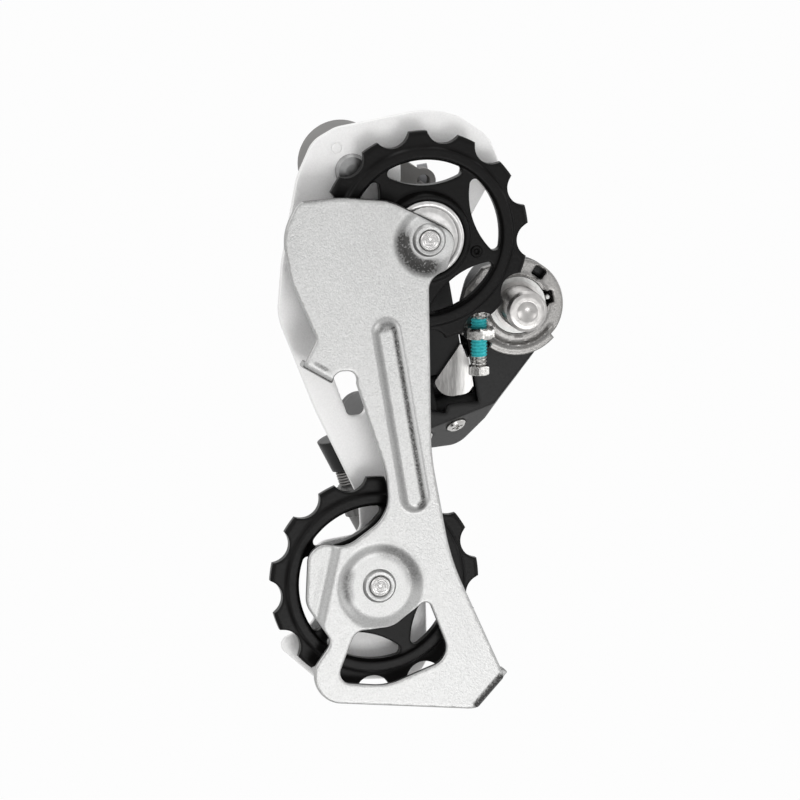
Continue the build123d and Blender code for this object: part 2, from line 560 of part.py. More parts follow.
# ---- hanger end ----------------------------------------------------------------------------------
def mounting_bolt():
    """M10 x 1 end for the hanger, a shank for the knuckle and a head with a hexagonal socket."""
    groove_low, groove_high = FACE_GAP, FACE_GAP + SNAP_RING_THICKNESS + 0.1
    seat = B_BACK + FACE_GAP
    top = seat + HEAD_HEIGHT
    profile = [(0, 1.4 - THREAD_LENGTH), (2.5, -THREAD_LENGTH),
               (THREAD_RADIUS - THREAD_CHAMFER, -THREAD_LENGTH),
               (THREAD_RADIUS, THREAD_CHAMFER - THREAD_LENGTH), (THREAD_RADIUS, 0), (SHANK_RADIUS - 0.2, 0),
               (SHANK_RADIUS - 0.2, groove_low), (SNAP_GROOVE_RADIUS, groove_low),
               (SNAP_GROOVE_RADIUS, groove_high), (SHANK_RADIUS, groove_high), (SHANK_RADIUS, seat),
               (HEAD_RADIUS, seat), (HEAD_RADIUS, top - 0.8), (HEAD_RADIUS - 0.8, top), (0, top)]
    key_place = Plane(origin=(0, top, 0), x_dir=(1, 0, 0), z_dir=(0, 1, 0)).location
    return turned(0, 0, profile) - key_place * hex_socket(MOUNT_KEY, KEY_DEPTH)


def snap_ring():
    low = FACE_GAP + 0.05
    ring = disc(0, 0, SNAP_RING_RADIUS) - disc(0, 0, SNAP_GROOVE_RADIUS)
    ring -= Rot(0, 0, 160) * Pos(SNAP_RING_RADIUS, 0) * Rectangle(2 * SNAP_RING_RADIUS, 4.0)
    return slab(ring, low, low + SNAP_RING_THICKNESS)


def stopper_plate():
    """Ring on the bolt, with a wing, a folded ear for the B-tension screw and a stop lip."""
    wing = outline([(-4.0, 10.6, 1.0), (-8.6, 9.3, 3.0), (-12.6, 4.6, 4.0), (-14.4, -0.6, 2.0),
                    (B_SCREW_X - EAR_LENGTH / 2, -3.4, 0.8),
                    (B_SCREW_X - EAR_LENGTH / 2, EAR_Z - EAR_THICKNESS / 2, 0.3),
                    (B_SCREW_X + EAR_LENGTH / 2, EAR_Z - EAR_THICKNESS / 2 - 1.4, 1.0), (0, -8, 1.0)])
    wedge = make_face(Polyline((0, 0), polar(20, -125), polar(20, -85), polar(20, -42), close=True))
    lip = disc(0, 0, LIP_RADIUS) & wedge
    ring = disc(0, 0, STOPPER_RADIUS)
    plate = slab(ring + wing, 0, STOPPER_THICKNESS)
    plate += slab(lip, STOPPER_THICKNESS / 2, STOPPER_THICKNESS)
    ear = Pos(B_SCREW_X, EAR_Z) * Rectangle(EAR_LENGTH, EAR_THICKNESS)
    plate += slab(ear, -EAR_REACH, STOPPER_THICKNESS)
    plate -= rod(0, 0, SNAP_RING_RADIUS + FACE_GAP, 0, FACE_GAP + SNAP_RING_THICKNESS + 0.15)
    plate -= rod(0, 0, SHANK_RADIUS + RUN_GAP, 0, STOPPER_THICKNESS)
    hook = Pos(*polar(B_SPRING_RADIUS, SPRING_HOOK_ANGLE)) * Rot(0, 0, SPRING_HOOK_ANGLE)
    plate -= slab(hook * Rectangle(2.4, 3.0), 0, STOPPER_THICKNESS)
    notch = Pos(*polar(STOPPER_RADIUS - 1.9, NOTCH_ANGLE)) * Rot(0, 0, NOTCH_ANGLE)
    plate -= slab(notch * Rectangle(NOTCH_SIZE, NOTCH_SIZE + 0.6), 0, STOPPER_THICKNESS)
    hole = Pos(B_SCREW_X, B_SCREW_Y, EAR_Z) * Cylinder(B_SCREW_RADIUS + RUN_GAP, 2 * EAR_THICKNESS)
    return plate - hole


def b_tension_screw():
    """M4 screw with a hexagonal head that also takes a cross driver."""
    top = B_SCREW_HEAD_Z
    low = top - B_SCREW_HEAD_HEIGHT
    shank = spun([(0, top), (B_SCREW_RADIUS, top), (B_SCREW_RADIUS, B_SCREW_TIP_Z - 0.6),
                  (B_SCREW_RADIUS - 0.6, B_SCREW_TIP_Z), (0, B_SCREW_TIP_Z)])
    head = Pos(0, 0, low) * extrude(RegularPolygon(B_SCREW_HEAD_RADIUS, 6, rotation=8), B_SCREW_HEAD_HEIGHT)
    cross = Box(0.8, 3.0, 1.6) + Box(3.0, 0.8, 1.6)
    return Pos(B_SCREW_X, B_SCREW_Y, 0) * (shank + head - Pos(0, 0, low) * cross)


def b_spring():
    turns = 5
    low = B_FRONT + B_SPRING_WIRE
    pitch = (B_CAVITY_DEPTH - 2 * B_SPRING_WIRE) / turns
    return spring_along_y(0, 0, low, B_SPRING_RADIUS, B_SPRING_WIRE, pitch, turns, SPRING_HOOK_ANGLE,
                          2 * FACE_GAP, B_FRONT + B_CAVITY_DEPTH + 2.5)


# ---- B-knuckle -----------------------------------------------------------------------------------
FACET = Plane(origin=(LIMIT_SCREW_X, B_FRONT, FACET_TOP_Z), x_dir=(-FACET_NORMAL[2], 0, FACET_NORMAL[0]),
              z_dir=FACET_NORMAL).location
FLANK = Plane(origin=(FLANK_DISTANCE * cos(radians(FLANK_ANGLE)), B_FRONT,
                      FLANK_DISTANCE * sin(radians(FLANK_ANGLE))), z_dir=FLANK_NORMAL).location
LIMIT_SCREWS = (FACET * Pos(0, -LIMIT_SCREW_DROP), FACET * Pos(-LIMIT_SCREW_SPACING, -LIMIT_SCREW_DROP))


def b_knuckle():
    """Cast body: barrel for the spring, a beam below the links, the pin lug and the cable boss."""
    elbow = disc(B_ELBOW_X, B_ELBOW_Z, B_ELBOW_RADIUS)
    tail_z = B_ELBOW_Z - B_ELBOW_RADIUS + B_TAIL_RADIUS
    tail = disc(B_TAIL_X, tail_z, B_TAIL_RADIUS)
    body = slab(hull(disc(0, 0, B_RING_RADIUS), elbow), B_FRONT, B_RING_BACK)
    body += slab(hull(disc(0, 0, B_BARREL_RADIUS), elbow), B_RING_BACK, B_BACK)
    body += slab(hull(elbow, tail), B_FRONT, B_BEAM_BACK)
    reach = 60
    side_low, side_high = -LINK_HALF_WIDTH - SWING_GAP, BRACKET_RIGHT + SWING_GAP
    clear = EAR_RADIUS + SWING_GAP
    body += link_block(-9.5, SPREAD_U - clear, SWEEP_RADIUS, SWEEP_RADIUS + 3, side_low, side_high + 0.5)
    body -= link_block(-clear, reach, -reach, clear, side_low, side_high)
    body -= link_block(SPREAD_U - clear, reach, clear, reach, side_low, LINK_HALF_WIDTH + SWING_GAP)
    body -= pillar(B1, SWEEP_RADIUS, side_low, side_high)
    stem = Pos(-9.5, 2) * Rectangle(5, 15)
    body += lug(B1, B2, stem)
    for place in (FACET, FLANK):
        body -= place * Pos(0, 0, reach / 2) * Box(2 * reach, 2 * reach, reach)
    arm = hull(disc(B_TAIL_X, tail_z, B_TAIL_RADIUS - 1.2), disc(CABLE_X + 2.5, CABLE_Z - 0.5, 3.4))
    body += slab(arm, B_BEAM_BACK - 6, CABLE_Y + 3.4)
    body += CABLE * spun([(0, 0), (BOSS_TOP_RADIUS, 0), (BOSS_END_RADIUS, BOSS_LENGTH), (0, BOSS_LENGTH)])
    thread = ADJUSTER_THREAD_RADIUS + RUN_GAP
    body -= CABLE * Pos(0, 0, BOSS_LENGTH / 2 + 0.8) * Cylinder(thread, BOSS_LENGTH)
    body -= CABLE * Cylinder(WIRE_HOLE_RADIUS, 12)
    for place in (B1, B2):
        body -= pillar(place, PIN_RADIUS + RUN_GAP, -reach, reach)
    for place in LIMIT_SCREWS:
        body -= place * Pos(0, 0, -4) * Cylinder(LIMIT_SCREW_RADIUS + RUN_GAP, 8.4)
        body -= place * Cylinder(LIMIT_HEAD_RADIUS + FACE_GAP, 1.0)
    body -= rod(0, 0, B_CAVITY_RADIUS, B_FRONT, B_FRONT + B_CAVITY_DEPTH)
    body -= rod(0, 0, SHANK_RADIUS + RUN_GAP, B_FRONT, B_BACK)
    hook = polar(B_SPRING_RADIUS, SPRING_HOOK_ANGLE)
    return body - rod(*hook, B_SPRING_WIRE / 2 + FACE_GAP, B_FRONT, B_FRONT + B_CAVITY_DEPTH + 3)


def limit_screw(place):
    """Pan-head screw in the sloped facet, backed out so that its tip clears the links."""
    screw = spun([(0, -LIMIT_SCREW_LENGTH), (LIMIT_SCREW_RADIUS, -LIMIT_SCREW_LENGTH),
                  (LIMIT_SCREW_RADIUS, -0.4), (LIMIT_HEAD_RADIUS, -0.4),
                  (LIMIT_HEAD_RADIUS, LIMIT_HEAD_HEIGHT - 0.9),
                  (LIMIT_HEAD_RADIUS - 0.5, LIMIT_HEAD_HEIGHT - 0.4), (0, LIMIT_HEAD_HEIGHT - 0.4)])
    cross = Box(0.7, 2.8, 1.2) + Box(2.8, 0.7, 1.2)
    return place * (screw - Pos(0, 0, LIMIT_HEAD_HEIGHT - 0.4) * cross)


def barrel_adjuster():
    """Threaded stem, knurled barrel and tapered nose, bored for the cable housing."""
    start = BOSS_LENGTH + ADJUSTER_STANDOFF
    end = start + ADJUSTER_LENGTH
    low = start - ADJUSTER_THREAD_LENGTH
    body = spun([(0, low), (ADJUSTER_THREAD_RADIUS, low),
                 (ADJUSTER_THREAD_RADIUS, start), (ADJUSTER_RADIUS, start), (ADJUSTER_RADIUS, end),
                 (NOSE_RADIUS + 0.7, end + 0.4), (NOSE_RADIUS, end + NOSE_LENGTH), (0, end + NOSE_LENGTH)])
    for groove in range(ADJUSTER_GROOVES):
        spot = Rot(0, 0, 360 / ADJUSTER_GROOVES * groove) * Pos(ADJUSTER_RADIUS + 0.25, 0, (start + end) / 2)
        body -= spot * Cylinder(0.65, ADJUSTER_LENGTH)
    mouth = end + NOSE_LENGTH
    body -= Pos(0, 0, mouth - HOUSING_DEPTH / 2) * Cylinder(HOUSING_RADIUS, HOUSING_DEPTH)
    body -= Pos(0, 0, start) * Cylinder(WIRE_HOLE_RADIUS, 3 * ADJUSTER_LENGTH)
    return CABLE * body


def adjuster_spring():
    """Small compression spring that keeps the adjuster from turning by itself."""
    wire, turns = 0.6, 5
    height = ADJUSTER_STANDOFF - wire - 2 * FACE_GAP
    spring = coil(ADJUSTER_THREAD_RADIUS + 0.2 + wire / 2, wire, height / turns, turns)
    return CABLE * Pos(0, 0, BOSS_LENGTH + wire / 2 + FACE_GAP) * spring


# ---- links ---------------------------------------------------------------------------------------
def link_pair(place_low, place_high, side):
    """Two ears and a web. The web lies inboard (side -1) or outboard (side 1) of the pins."""
    u_low, v = place_low
    u_high = place_high[0]
    web_near, web_far = v + side * WEB_OFFSET, v + side * (WEB_OFFSET + WEB_WALL)
    v_low, v_high = sorted((v, web_far))
    start, end = (WEB_RELIEF, EAR_RADIUS) if side < 0 else (-EAR_RADIUS, -WEB_RELIEF)
    start, end = u_low + start, u_high + end
    ends = hull(Pos(u_low, v) * Circle(EAR_RADIUS), Pos(u_high, v) * Circle(EAR_RADIUS))
    flange = Pos((start + end) / 2, (v_low + v_high) / 2) * Rectangle(end - start, v_high - v_low)
    waist = Pos((u_low + u_high) / 2, v - side * EAR_RADIUS) * Rectangle(u_high - u_low - 14, 3.0)
    ear = ends + flange - waist
    body = None
    for w_low in (-LINK_HALF_WIDTH, LINK_HALF_WIDTH - EAR_WALL):
        wall = link_slab(ear, w_low, w_low + EAR_WALL)
        body = wall if body is None else body + wall
    low, high = sorted((web_near, web_far))
    body += link_block(start, end, low, high, -LINK_HALF_WIDTH, LINK_HALF_WIDTH)
    for place in (place_low, place_high):
        body -= pillar(place, PIN_RADIUS, -LINK_HALF_WIDTH, LINK_HALF_WIDTH)
    return body


def inner_link():
    """The link on the wheel side."""
    return link_pair(B1, P1, -1)


def outer_link():
    """The link on the far side, with an arm for the cable clamp."""
    body = link_pair(B2, P2, 1)
    u = B2[0] + CLAMP_U
    low = B2[1] + WEB_OFFSET
    arm = link_block(u - 5, u + 5, low, low + 3.0, CLAMP_W, -LINK_HALF_WIDTH + 1)
    end = LINKS * Pos(u, low + 1.5, -CLAMP_W) * Rot(90, 0, 0) * Cylinder(5.0, 3.0)
    hole = LINKS * Pos(u, low + 1.5, -CLAMP_W) * Rot(90, 0, 0) * Cylinder(CLAMP_BOLT_RADIUS, 3.2)
    groove_w = CLAMP_W + CLAMP_BOLT_RADIUS
    groove = link_block(u - 5, u + 5, low + 2.2, low + 3.2, groove_w, groove_w + 1.5)
    return body + arm + end - hole - groove


def link_pins(places):
    return Compound(children=[pillar(place, PIN_RADIUS, -LINK_HALF_WIDTH - 0.3, LINK_HALF_WIDTH + 0.3)
                              for place in places])


def inner_link_pins():
    return Compound(children=[pillar(P1, PIN_RADIUS, -LINK_HALF_WIDTH - 0.3, LINK_HALF_WIDTH + 0.3),
                              pillar(B1, PIN_RADIUS, -LINK_HALF_WIDTH - 0.3, BRACKET_RIGHT)])


def outer_link_pins():
    return link_pins((B2, P2))


def limit_stop_bracket():
    """Bent steel plate on the inner link's corner, which the limit screws meet."""
    face = -WEB_OFFSET - WEB_WALL
    fan = outline([(9.8, -12.3, 0.3), (8.6, -11.3, 0.5), (1.4, -4.4, 1.2), (-BRACKET_DROP, -5.6, 4.0),
                   (-BRACKET_DROP, -12.0, 2.5), (-1.0, -BRACKET_RIGHT, 0.5), (3.5, -13.6, 0.3)])
    place = Plane(origin=(0, face, 0), x_dir=(1, 0, 0), z_dir=(0, -1, 0)).location
    front = LINKS * place * extrude(fan, BRACKET_WALL)
    side = link_block(1.5 - BRACKET_DROP, 6.0, face - BRACKET_WALL, EAR_RADIUS - 1,
                      LINK_HALF_WIDTH, BRACKET_RIGHT)
    around = pillar(B1, EAR_RADIUS, LINK_HALF_WIDTH, BRACKET_RIGHT)
    body = front + side + around
    return body - pillar(B1, PIN_RADIUS, 0, BRACKET_RIGHT)


def link_spring():
    """Torsion spring round the inner link's lower pin barrel, which swings the cage outboard."""
    turns = 3
    pitch = LINK_SPRING_WIRE + 0.1
    low = -LUG_HALF_WIDTH + 0.3 + LINK_SPRING_WIRE / 2
    body = LINKS * Pos(0, 0, -low - pitch * turns) * coil(LINK_SPRING_RADIUS, LINK_SPRING_WIRE, pitch, turns)
    return body


def cable_clamp_bolt():
    """Socket bolt that pinches the cable on the outer link's arm."""
    u, low = B2[0] + CLAMP_U, B2[1] + WEB_OFFSET
    start = low + 3.0 + CLAMP_WASHER + 0.2
    shank = Pos(u, (low + start) / 2, -CLAMP_W) * Rot(90, 0, 0) * Cylinder(CLAMP_BOLT_RADIUS, start - low)
    seat = Pos(u, start + CLAMP_HEAD_HEIGHT / 2, -CLAMP_W) * Rot(90, 0, 0)
    head = seat * Cylinder(CLAMP_HEAD_RADIUS, CLAMP_HEAD_HEIGHT)
    key = Pos(u, start + CLAMP_HEAD_HEIGHT, -CLAMP_W) * Rot(-90, 0, 0) * hex_socket(CLAMP_KEY, 2.0)
    return LINKS * (shank + head - key)


def cable_clamp_washer():
    u, low = B2[0] + CLAMP_U, B2[1] + WEB_OFFSET + 3.0
    ring = Cylinder(CLAMP_WASHER_RADIUS, CLAMP_WASHER) - Cylinder(CLAMP_BOLT_RADIUS + RUN_GAP, CLAMP_WASHER)
    return LINKS * Pos(u, low + 0.1 + CLAMP_WASHER / 2, -CLAMP_W) * Rot(90, 0, 0) * ring


# ---- the pieces ----------------------------------------------------------------------------------
PIECES = {
    "mounting_bolt": mounting_bolt,
    "snap_ring": snap_ring,
    "stopper_plate": stopper_plate,
    "b_tension_screw": b_tension_screw,
    "b_spring": b_spring,
    "b_knuckle": b_knuckle,
    "low_limit_screw": lambda: limit_screw(LIMIT_SCREWS[0]),
    "high_limit_screw": lambda: limit_screw(LIMIT_SCREWS[1]),
    "barrel_adjuster": barrel_adjuster,
    "adjuster_spring": adjuster_spring,
    "link_spring": link_spring,
    "inner_link": inner_link,
    "inner_link_pins": inner_link_pins,
    "limit_stop_bracket": limit_stop_bracket,
    "outer_link": outer_link,
    "outer_link_pins": outer_link_pins,
    "cable_clamp_bolt": cable_clamp_bolt,
    "cable_clamp_washer": cable_clamp_washer,
    "p_knuckle": p_knuckle,
    "p_spring": p_spring,
    "p_axle": p_axle,
    "p_axle_screw": p_axle_screw,
    "outer_plate": outer_plate,
    "inner_plate": inner_plate,
    "cage_stop_pin": cage_stop_pin,
    "pulley_bolts": pulley_bolts,
    "pulley_bushes": pulley_bushes,
    "guide_dust_caps": lambda: dust_caps(GUIDE_X, GUIDE_Z),
    "tension_dust_caps": lambda: dust_caps(TENSION_X, TENSION_Z),
    "guide_pulley": lambda: pulley(GUIDE_X, GUIDE_Z, GUIDE_TOOTH_ANGLE, GUIDE_WINDOW_ANGLE),
    "tension_pulley": lambda: pulley(TENSION_X, TENSION_Z, TENSION_TOOTH_ANGLE, TENSION_WINDOW_ANGLE),
}

for name, make in PIECES.items():
    export_step(make(), f"parts/{name}.step")
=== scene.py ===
import json
import math

import bmesh
import bpy
import numpy as np
from mathutils import Matrix, Vector, geometry


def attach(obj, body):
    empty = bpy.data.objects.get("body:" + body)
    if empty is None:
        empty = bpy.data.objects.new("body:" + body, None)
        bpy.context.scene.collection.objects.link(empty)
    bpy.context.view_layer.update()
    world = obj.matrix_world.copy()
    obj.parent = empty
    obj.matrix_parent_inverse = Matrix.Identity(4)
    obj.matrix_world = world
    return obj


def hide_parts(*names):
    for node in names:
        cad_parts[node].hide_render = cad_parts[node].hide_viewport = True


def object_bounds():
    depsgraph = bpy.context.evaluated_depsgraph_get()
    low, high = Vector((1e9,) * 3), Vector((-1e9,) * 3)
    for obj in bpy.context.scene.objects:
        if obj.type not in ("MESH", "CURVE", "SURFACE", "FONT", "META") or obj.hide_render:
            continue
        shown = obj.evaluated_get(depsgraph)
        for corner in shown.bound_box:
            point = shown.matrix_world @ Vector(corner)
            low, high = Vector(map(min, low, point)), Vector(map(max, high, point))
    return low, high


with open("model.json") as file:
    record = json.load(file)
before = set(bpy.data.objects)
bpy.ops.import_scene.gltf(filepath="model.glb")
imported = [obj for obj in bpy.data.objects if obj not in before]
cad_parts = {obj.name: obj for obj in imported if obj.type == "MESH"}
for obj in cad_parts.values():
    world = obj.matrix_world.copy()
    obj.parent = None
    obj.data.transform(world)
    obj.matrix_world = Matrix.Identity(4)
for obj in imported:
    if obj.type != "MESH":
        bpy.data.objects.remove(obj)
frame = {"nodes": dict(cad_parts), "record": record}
cad_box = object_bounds()

MM = 0.001


# ---- camera, light and floor ---------------------------------------------------------------------
YAW, PITCH = math.radians(13), math.radians(10)
VIEW_WIDTH, SENSOR_WIDTH = 0.1919, 36
CAMERA_DISTANCE = 4.0
FLOOR_DROP, FLOOR_HALF = 0.4, 12
AIM_RIGHT, AIM_UP = -0.02827, -0.02278
LAMP_AIM = Vector((-0.03, 0, -0.02))
LOOK = Vector((math.sin(YAW) * math.cos(PITCH), math.cos(YAW) * math.cos(PITCH), -math.sin(PITCH)))
RIGHT = Vector((math.cos(YAW), -math.sin(YAW), 0))
UP = RIGHT.cross(LOOK)
AIM = RIGHT * AIM_RIGHT + UP * AIM_UP


def turned_to(direction):
    """The rotation that looks along a direction, with Z up."""
    back = -direction.normalized()
    right = Vector((0, 0, 1)).cross(back).normalized()
    return Matrix((right, back.cross(right), back)).transposed().to_euler()


def add_camera():
    data = bpy.data.cameras.new("camera")
    data.sensor_width = SENSOR_WIDTH
    data.lens = SENSOR_WIDTH * CAMERA_DISTANCE / VIEW_WIDTH
    data.clip_end = 20
    camera = bpy.data.objects.new("camera", data)
    camera.location = AIM - LOOK * CAMERA_DISTANCE
    camera.rotation_euler = turned_to(LOOK)
    bpy.context.collection.objects.link(camera)
    bpy.context.scene.camera = camera


def add_lamp(name, place, size, power):
    """A square soft lamp that faces the object. The place is in metres: right, up and towards the camera."""
    data = bpy.data.lights.new(name, "AREA")
    data.size = size
    data.energy = power
    lamp = bpy.data.objects.new(name, data)
    lamp.location = LAMP_AIM + RIGHT * place[0] + UP * place[1] - LOOK * place[2]
    lamp.rotation_euler = turned_to(LAMP_AIM - lamp.location)
    bpy.context.collection.objects.link(lamp)


# ---- shader nodes --------------------------------------------------------------------------------
class Sock:
    """A shader socket that takes arithmetic."""

    def __init__(self, tree, socket):
        self.tree = tree
        self.socket = socket

    def __add__(self, other):
        return maths(self.tree, "ADD", self, other)

    def __sub__(self, other):
        return maths(self.tree, "SUBTRACT", self, other)

    def __rsub__(self, other):
        return maths(self.tree, "SUBTRACT", other, self)

    def __mul__(self, other):
        return maths(self.tree, "MULTIPLY", self, other)

    __radd__ = __add__
    __rmul__ = __mul__

    def clipped(self, low, high):
        """0 at low, 1 at high, and straight between them."""
        span = self.tree.nodes.new("ShaderNodeMapRange")
        put(self.tree, span.inputs["Value"], self)
        span.inputs["From Min"].default_value = low
        span.inputs["From Max"].default_value = high
        return Sock(self.tree, span.outputs[0])


def maths(tree, operation, *values):
    """A Math node on sockets and plain numbers."""
    made = tree.nodes.new("ShaderNodeMath")
    made.operation = operation
    for slot, value in zip(made.inputs, values):
        put(tree, slot, value)
    return Sock(tree, made.outputs[0])


def put(tree, slot, value):
    """Links a socket to an input, or sets a plain value there."""
    if isinstance(value, Sock):
        tree.links.new(value.socket, slot)
    else:
        slot.default_value = value


class Surface:
    """A material built round one Principled shader, on Object coordinates."""

    def __init__(self, name, colour, roughness, metallic=0.0, specular=0.5):
        self.material = bpy.data.materials.new(name)
        self.material.use_nodes = True
        self.tree = self.material.node_tree
        self.shader = self.tree.nodes["Principled BSDF"]
        self.coords = self.node("ShaderNodeTexCoord", "Object")
        self.set("Base Color", (*colour, 1))
        self.set("Roughness", roughness)
        self.set("Metallic", metallic)
        self.set("Specular IOR Level", specular)

    def node(self, kind, output=0, settings=None, **inputs):
        made = self.tree.nodes.new(kind)
        for key, value in (settings or {}).items():
            setattr(made, key, value)
        for key, value in inputs.items():
            put(self.tree, made.inputs[key.replace("_", " ")], value)
        return Sock(self.tree, made.outputs[output])

    def set(self, name, value):
        put(self.tree, self.shader.inputs[name], value)

    def noise(self, scale, detail, roughness=0.5, stretch=(1, 1, 1)):
        """Noise from 0 to 1 whose grains are about 1/scale metres wide."""
        spot = self.node("ShaderNodeMapping", Vector=self.coords, Scale=stretch)
        return self.node("ShaderNodeTexNoise", Vector=spot, Scale=scale, Detail=detail, Roughness=roughness)

    def marks(self):
        """The marks that a mesh carries on its points, from 0 to 1."""
        return self.node("ShaderNodeAttribute", 2, {"attribute_name": "marks"})

    def mix(self, factor, low, high):
        """A colour between two others."""
        made = self.tree.nodes.new("ShaderNodeMix")
        made.data_type = "RGBA"
        put(self.tree, made.inputs[0], factor)
        for slot, colour in ((made.inputs[6], low), (made.inputs[7], high)):
            put(self.tree, slot, colour if isinstance(colour, Sock) else (*colour, 1))
        return Sock(self.tree, made.outputs[2])

    def bump(self, height, distance, radius=0.0):
        """Bumps of a height in metres over edges rounded to a radius."""
        made = self.tree.nodes.new("ShaderNodeBump")
        put(self.tree, made.inputs["Height"], height)
        made.inputs["Distance"].default_value = distance
        if radius:
            soft = self.tree.nodes.new("ShaderNodeBevel")
            soft.samples = 6
            soft.inputs["Radius"].default_value = radius
            self.tree.links.new(soft.outputs[0], made.inputs["Normal"])
        self.tree.links.new(made.outputs[0], self.shader.inputs["Normal"])


def seen_rays(tree):
    """1 for the rays of the camera, of gloss and of glass, and 0 for all others."""
    paths = tree.nodes.new("ShaderNodeLightPath")
    kinds = ("Is Camera Ray", "Is Glossy Ray", "Is Transmission Ray")
    camera, gloss, glass = (Sock(tree, paths.outputs[kind]) for kind in kinds)
    return (camera + gloss + glass).clipped(0.0, 1.0)


def choose(tree, factor, low, high, target):
    """Sends the low shader or the high one, by a factor, to an output."""
    choice = tree.nodes.new("ShaderNodeMixShader")
    put(tree, choice.inputs[0], factor)
    tree.links.new(low.outputs[0], choice.inputs[1])
    tree.links.new(high.outputs[0], choice.inputs[2])
    tree.links.new(choice.outputs[0], target.inputs["Surface"])


def add_floor(level, shown):
    """A wide pale floor well below the hanging part. Most of what is seen of it is plain white, and the
    rest is its lit colour, which keeps the shadow."""
    low = cad_box[0][2] - FLOOR_DROP
    corners = [(x * FLOOR_HALF, y * FLOOR_HALF, low) for x, y in ((-1, -1), (1, -1), (1, 1), (-1, 1))]
    mesh = bpy.data.meshes.new("floor")
    mesh.from_pydata(corners, [], [(0, 1, 2, 3)])
    surface = Surface("floor", (level, level, level), 0.9)
    tree = surface.tree
    white = tree.nodes.new("ShaderNodeEmission")
    choose(tree, seen_rays(tree) * shown, surface.shader, white, tree.nodes["Material Output"])
    mesh.materials.append(surface.material)
    floor = bpy.data.objects.new("floor", mesh)
    bpy.context.collection.objects.link(floor)


def set_world(level):
    """Even light of a level, which the camera, metal and glass see as plain white."""
    world = bpy.data.worlds.new("world")
    world.use_nodes = True
    tree = world.node_tree
    tree.nodes["Background"].inputs[0].default_value = (level, level, level, 1)
    white = tree.nodes.new("ShaderNodeBackground")
    white.inputs[0].default_value = (1, 1, 1, 1)
    choose(tree, seen_rays(tree), tree.nodes["Background"], white, tree.nodes["World Output"])
    bpy.context.scene.world = world


# ---- materials -----------------------------------------------------------------------------------
# The near black that the inner plate's painted shade darkens towards.
PAINTED_SHADE_DARK = (0.035, 0.034, 0.033)
PEEL_SIZE, TURNED_EDGE = 0.0009, 0.0002


def shaded(colour, share):
    """A colour times a share, up to full white."""
    return tuple(min(1, c * share) for c in colour)


def zinc(name, colour, roughness, speckle, painted_shade=0.0, metallic=1.0):
    """Plated sheet: a fine speckle, soft cloudy patches, and painted shade in dark mottled grains where the
    mesh's marks lie.
    """
    surface = Surface(name, colour, roughness, metallic=metallic)
    grain = surface.noise(2600, 2)
    cloud = surface.noise(90, 3)
    dark, light = shaded(colour, 1 - speckle), shaded(colour, 1 + speckle * 0.6)
    shade = surface.mix((grain * 0.75 + cloud * 0.25).clipped(0.3, 0.7), dark, light)
    rough = grain * 0.12 + cloud * 0.08 + (roughness - 0.1)
    # Painted shade: the mesh's marks darken the colour towards a near black, mottled by a fine noise.
    if painted_shade:
        marks = surface.marks()
        mottle = surface.noise(2100, 2, 0.6)
        depth = marks * marks
        amount = (depth * 1.15 + (mottle - 0.5) * (depth * depth * 3.2)).clipped(0.06, 0.85)
        shade = surface.mix(amount * painted_shade, shade, PAINTED_SHADE_DARK)
    surface.set("Base Color", shade)
    surface.set("Roughness", rough)
    surface.bump(grain, 0.00004)
    return surface


def coated(name, colour, roughness, specular=0.5, radius=0.0004):
    """A satin coating or moulding with a faint orange peel."""
    surface = Surface(name, colour, roughness, specular=specular)
    peel = surface.noise(1 / PEEL_SIZE, 2)
    cloud = surface.noise(70, 3)
    shade = surface.mix(cloud.clipped(0.3, 0.7), shaded(colour, 0.85), shaded(colour, 1.15))
    surface.set("Base Color", shade)
    surface.set("Roughness", cloud * 0.1 + peel * 0.06 + (roughness - 0.08))
    surface.bump(peel, 0.00003, radius)
    return surface


def bright(name, colour, roughness):
    """Plated turned steel, with fine marks."""
    surface = Surface(name, colour, roughness, metallic=1.0)
    marks = surface.noise(700, 4)
    surface.set("Base Color", surface.mix(marks.clipped(0.35, 0.7), shaded(colour, 0.8), colour))
    surface.set("Roughness", marks * 0.16 + (roughness - 0.08))
    surface.bump(marks, 0.00003, TURNED_EDGE)
    return surface


def streaked_with_painted_light(name):
    """Drawn sheet: soft streaks along the links, and painted shade that lightens to a painted highlight by x.
    """
    surface = Surface(name, (0.42, 0.41, 0.40), 0.34, metallic=1.0)
    # Painted light: 0 left of x = -15 mm, rising to 1 at x = -12.1 mm, a painted highlight where the face
    # turns.
    painted_band = surface.node("ShaderNodeSeparateXYZ", 0, Vector=surface.coords).clipped(-0.0150, -0.0121)
    streak = surface.noise(230, 2, 0.5, (1, 0.5, 0.12))
    fine = surface.noise(1800, 2, 0.5, (1, 1, 0.2))
    shade = (painted_band * 0.8 + (streak - 0.5) * 0.9 + (fine - 0.5) * 0.3 + 0.1).clipped(0.0, 1.0)
    # Dark and light tones of one steel: painted shade and painted highlight, mixed by the ramp and the
    # streaks.
    surface.set("Base Color", surface.mix(shade, (0.14, 0.137, 0.134), (0.74, 0.73, 0.715)))
    surface.set("Roughness", fine * 0.15 + 0.27)
    surface.bump(fine, 0.00003)
    return surface


def locked_thread(name):
    """Bright plated thread with a dried teal compound where it was marked."""
    surface = Surface(name, (0.78, 0.77, 0.75), 0.22, metallic=1.0)
    grain = surface.noise(1500, 3)
    marks = surface.marks()
    cover = (marks + (grain - 0.5) * 0.9).clipped(0.35, 0.6)
    steel = surface.mix(grain.clipped(0.35, 0.7), (0.46, 0.452, 0.437), (0.66, 0.652, 0.635))
    teal = surface.mix(grain.clipped(0.3, 0.7), (0.034, 0.54, 0.58), (0.085, 0.78, 0.83))
    surface.set("Base Color", surface.mix(cover, steel, teal))
    surface.set("Metallic", 1 - cover)
    surface.set("Roughness", cover * 0.25 + grain * 0.1 + 0.15)
    surface.bump(grain, 0.00003)
    return surface


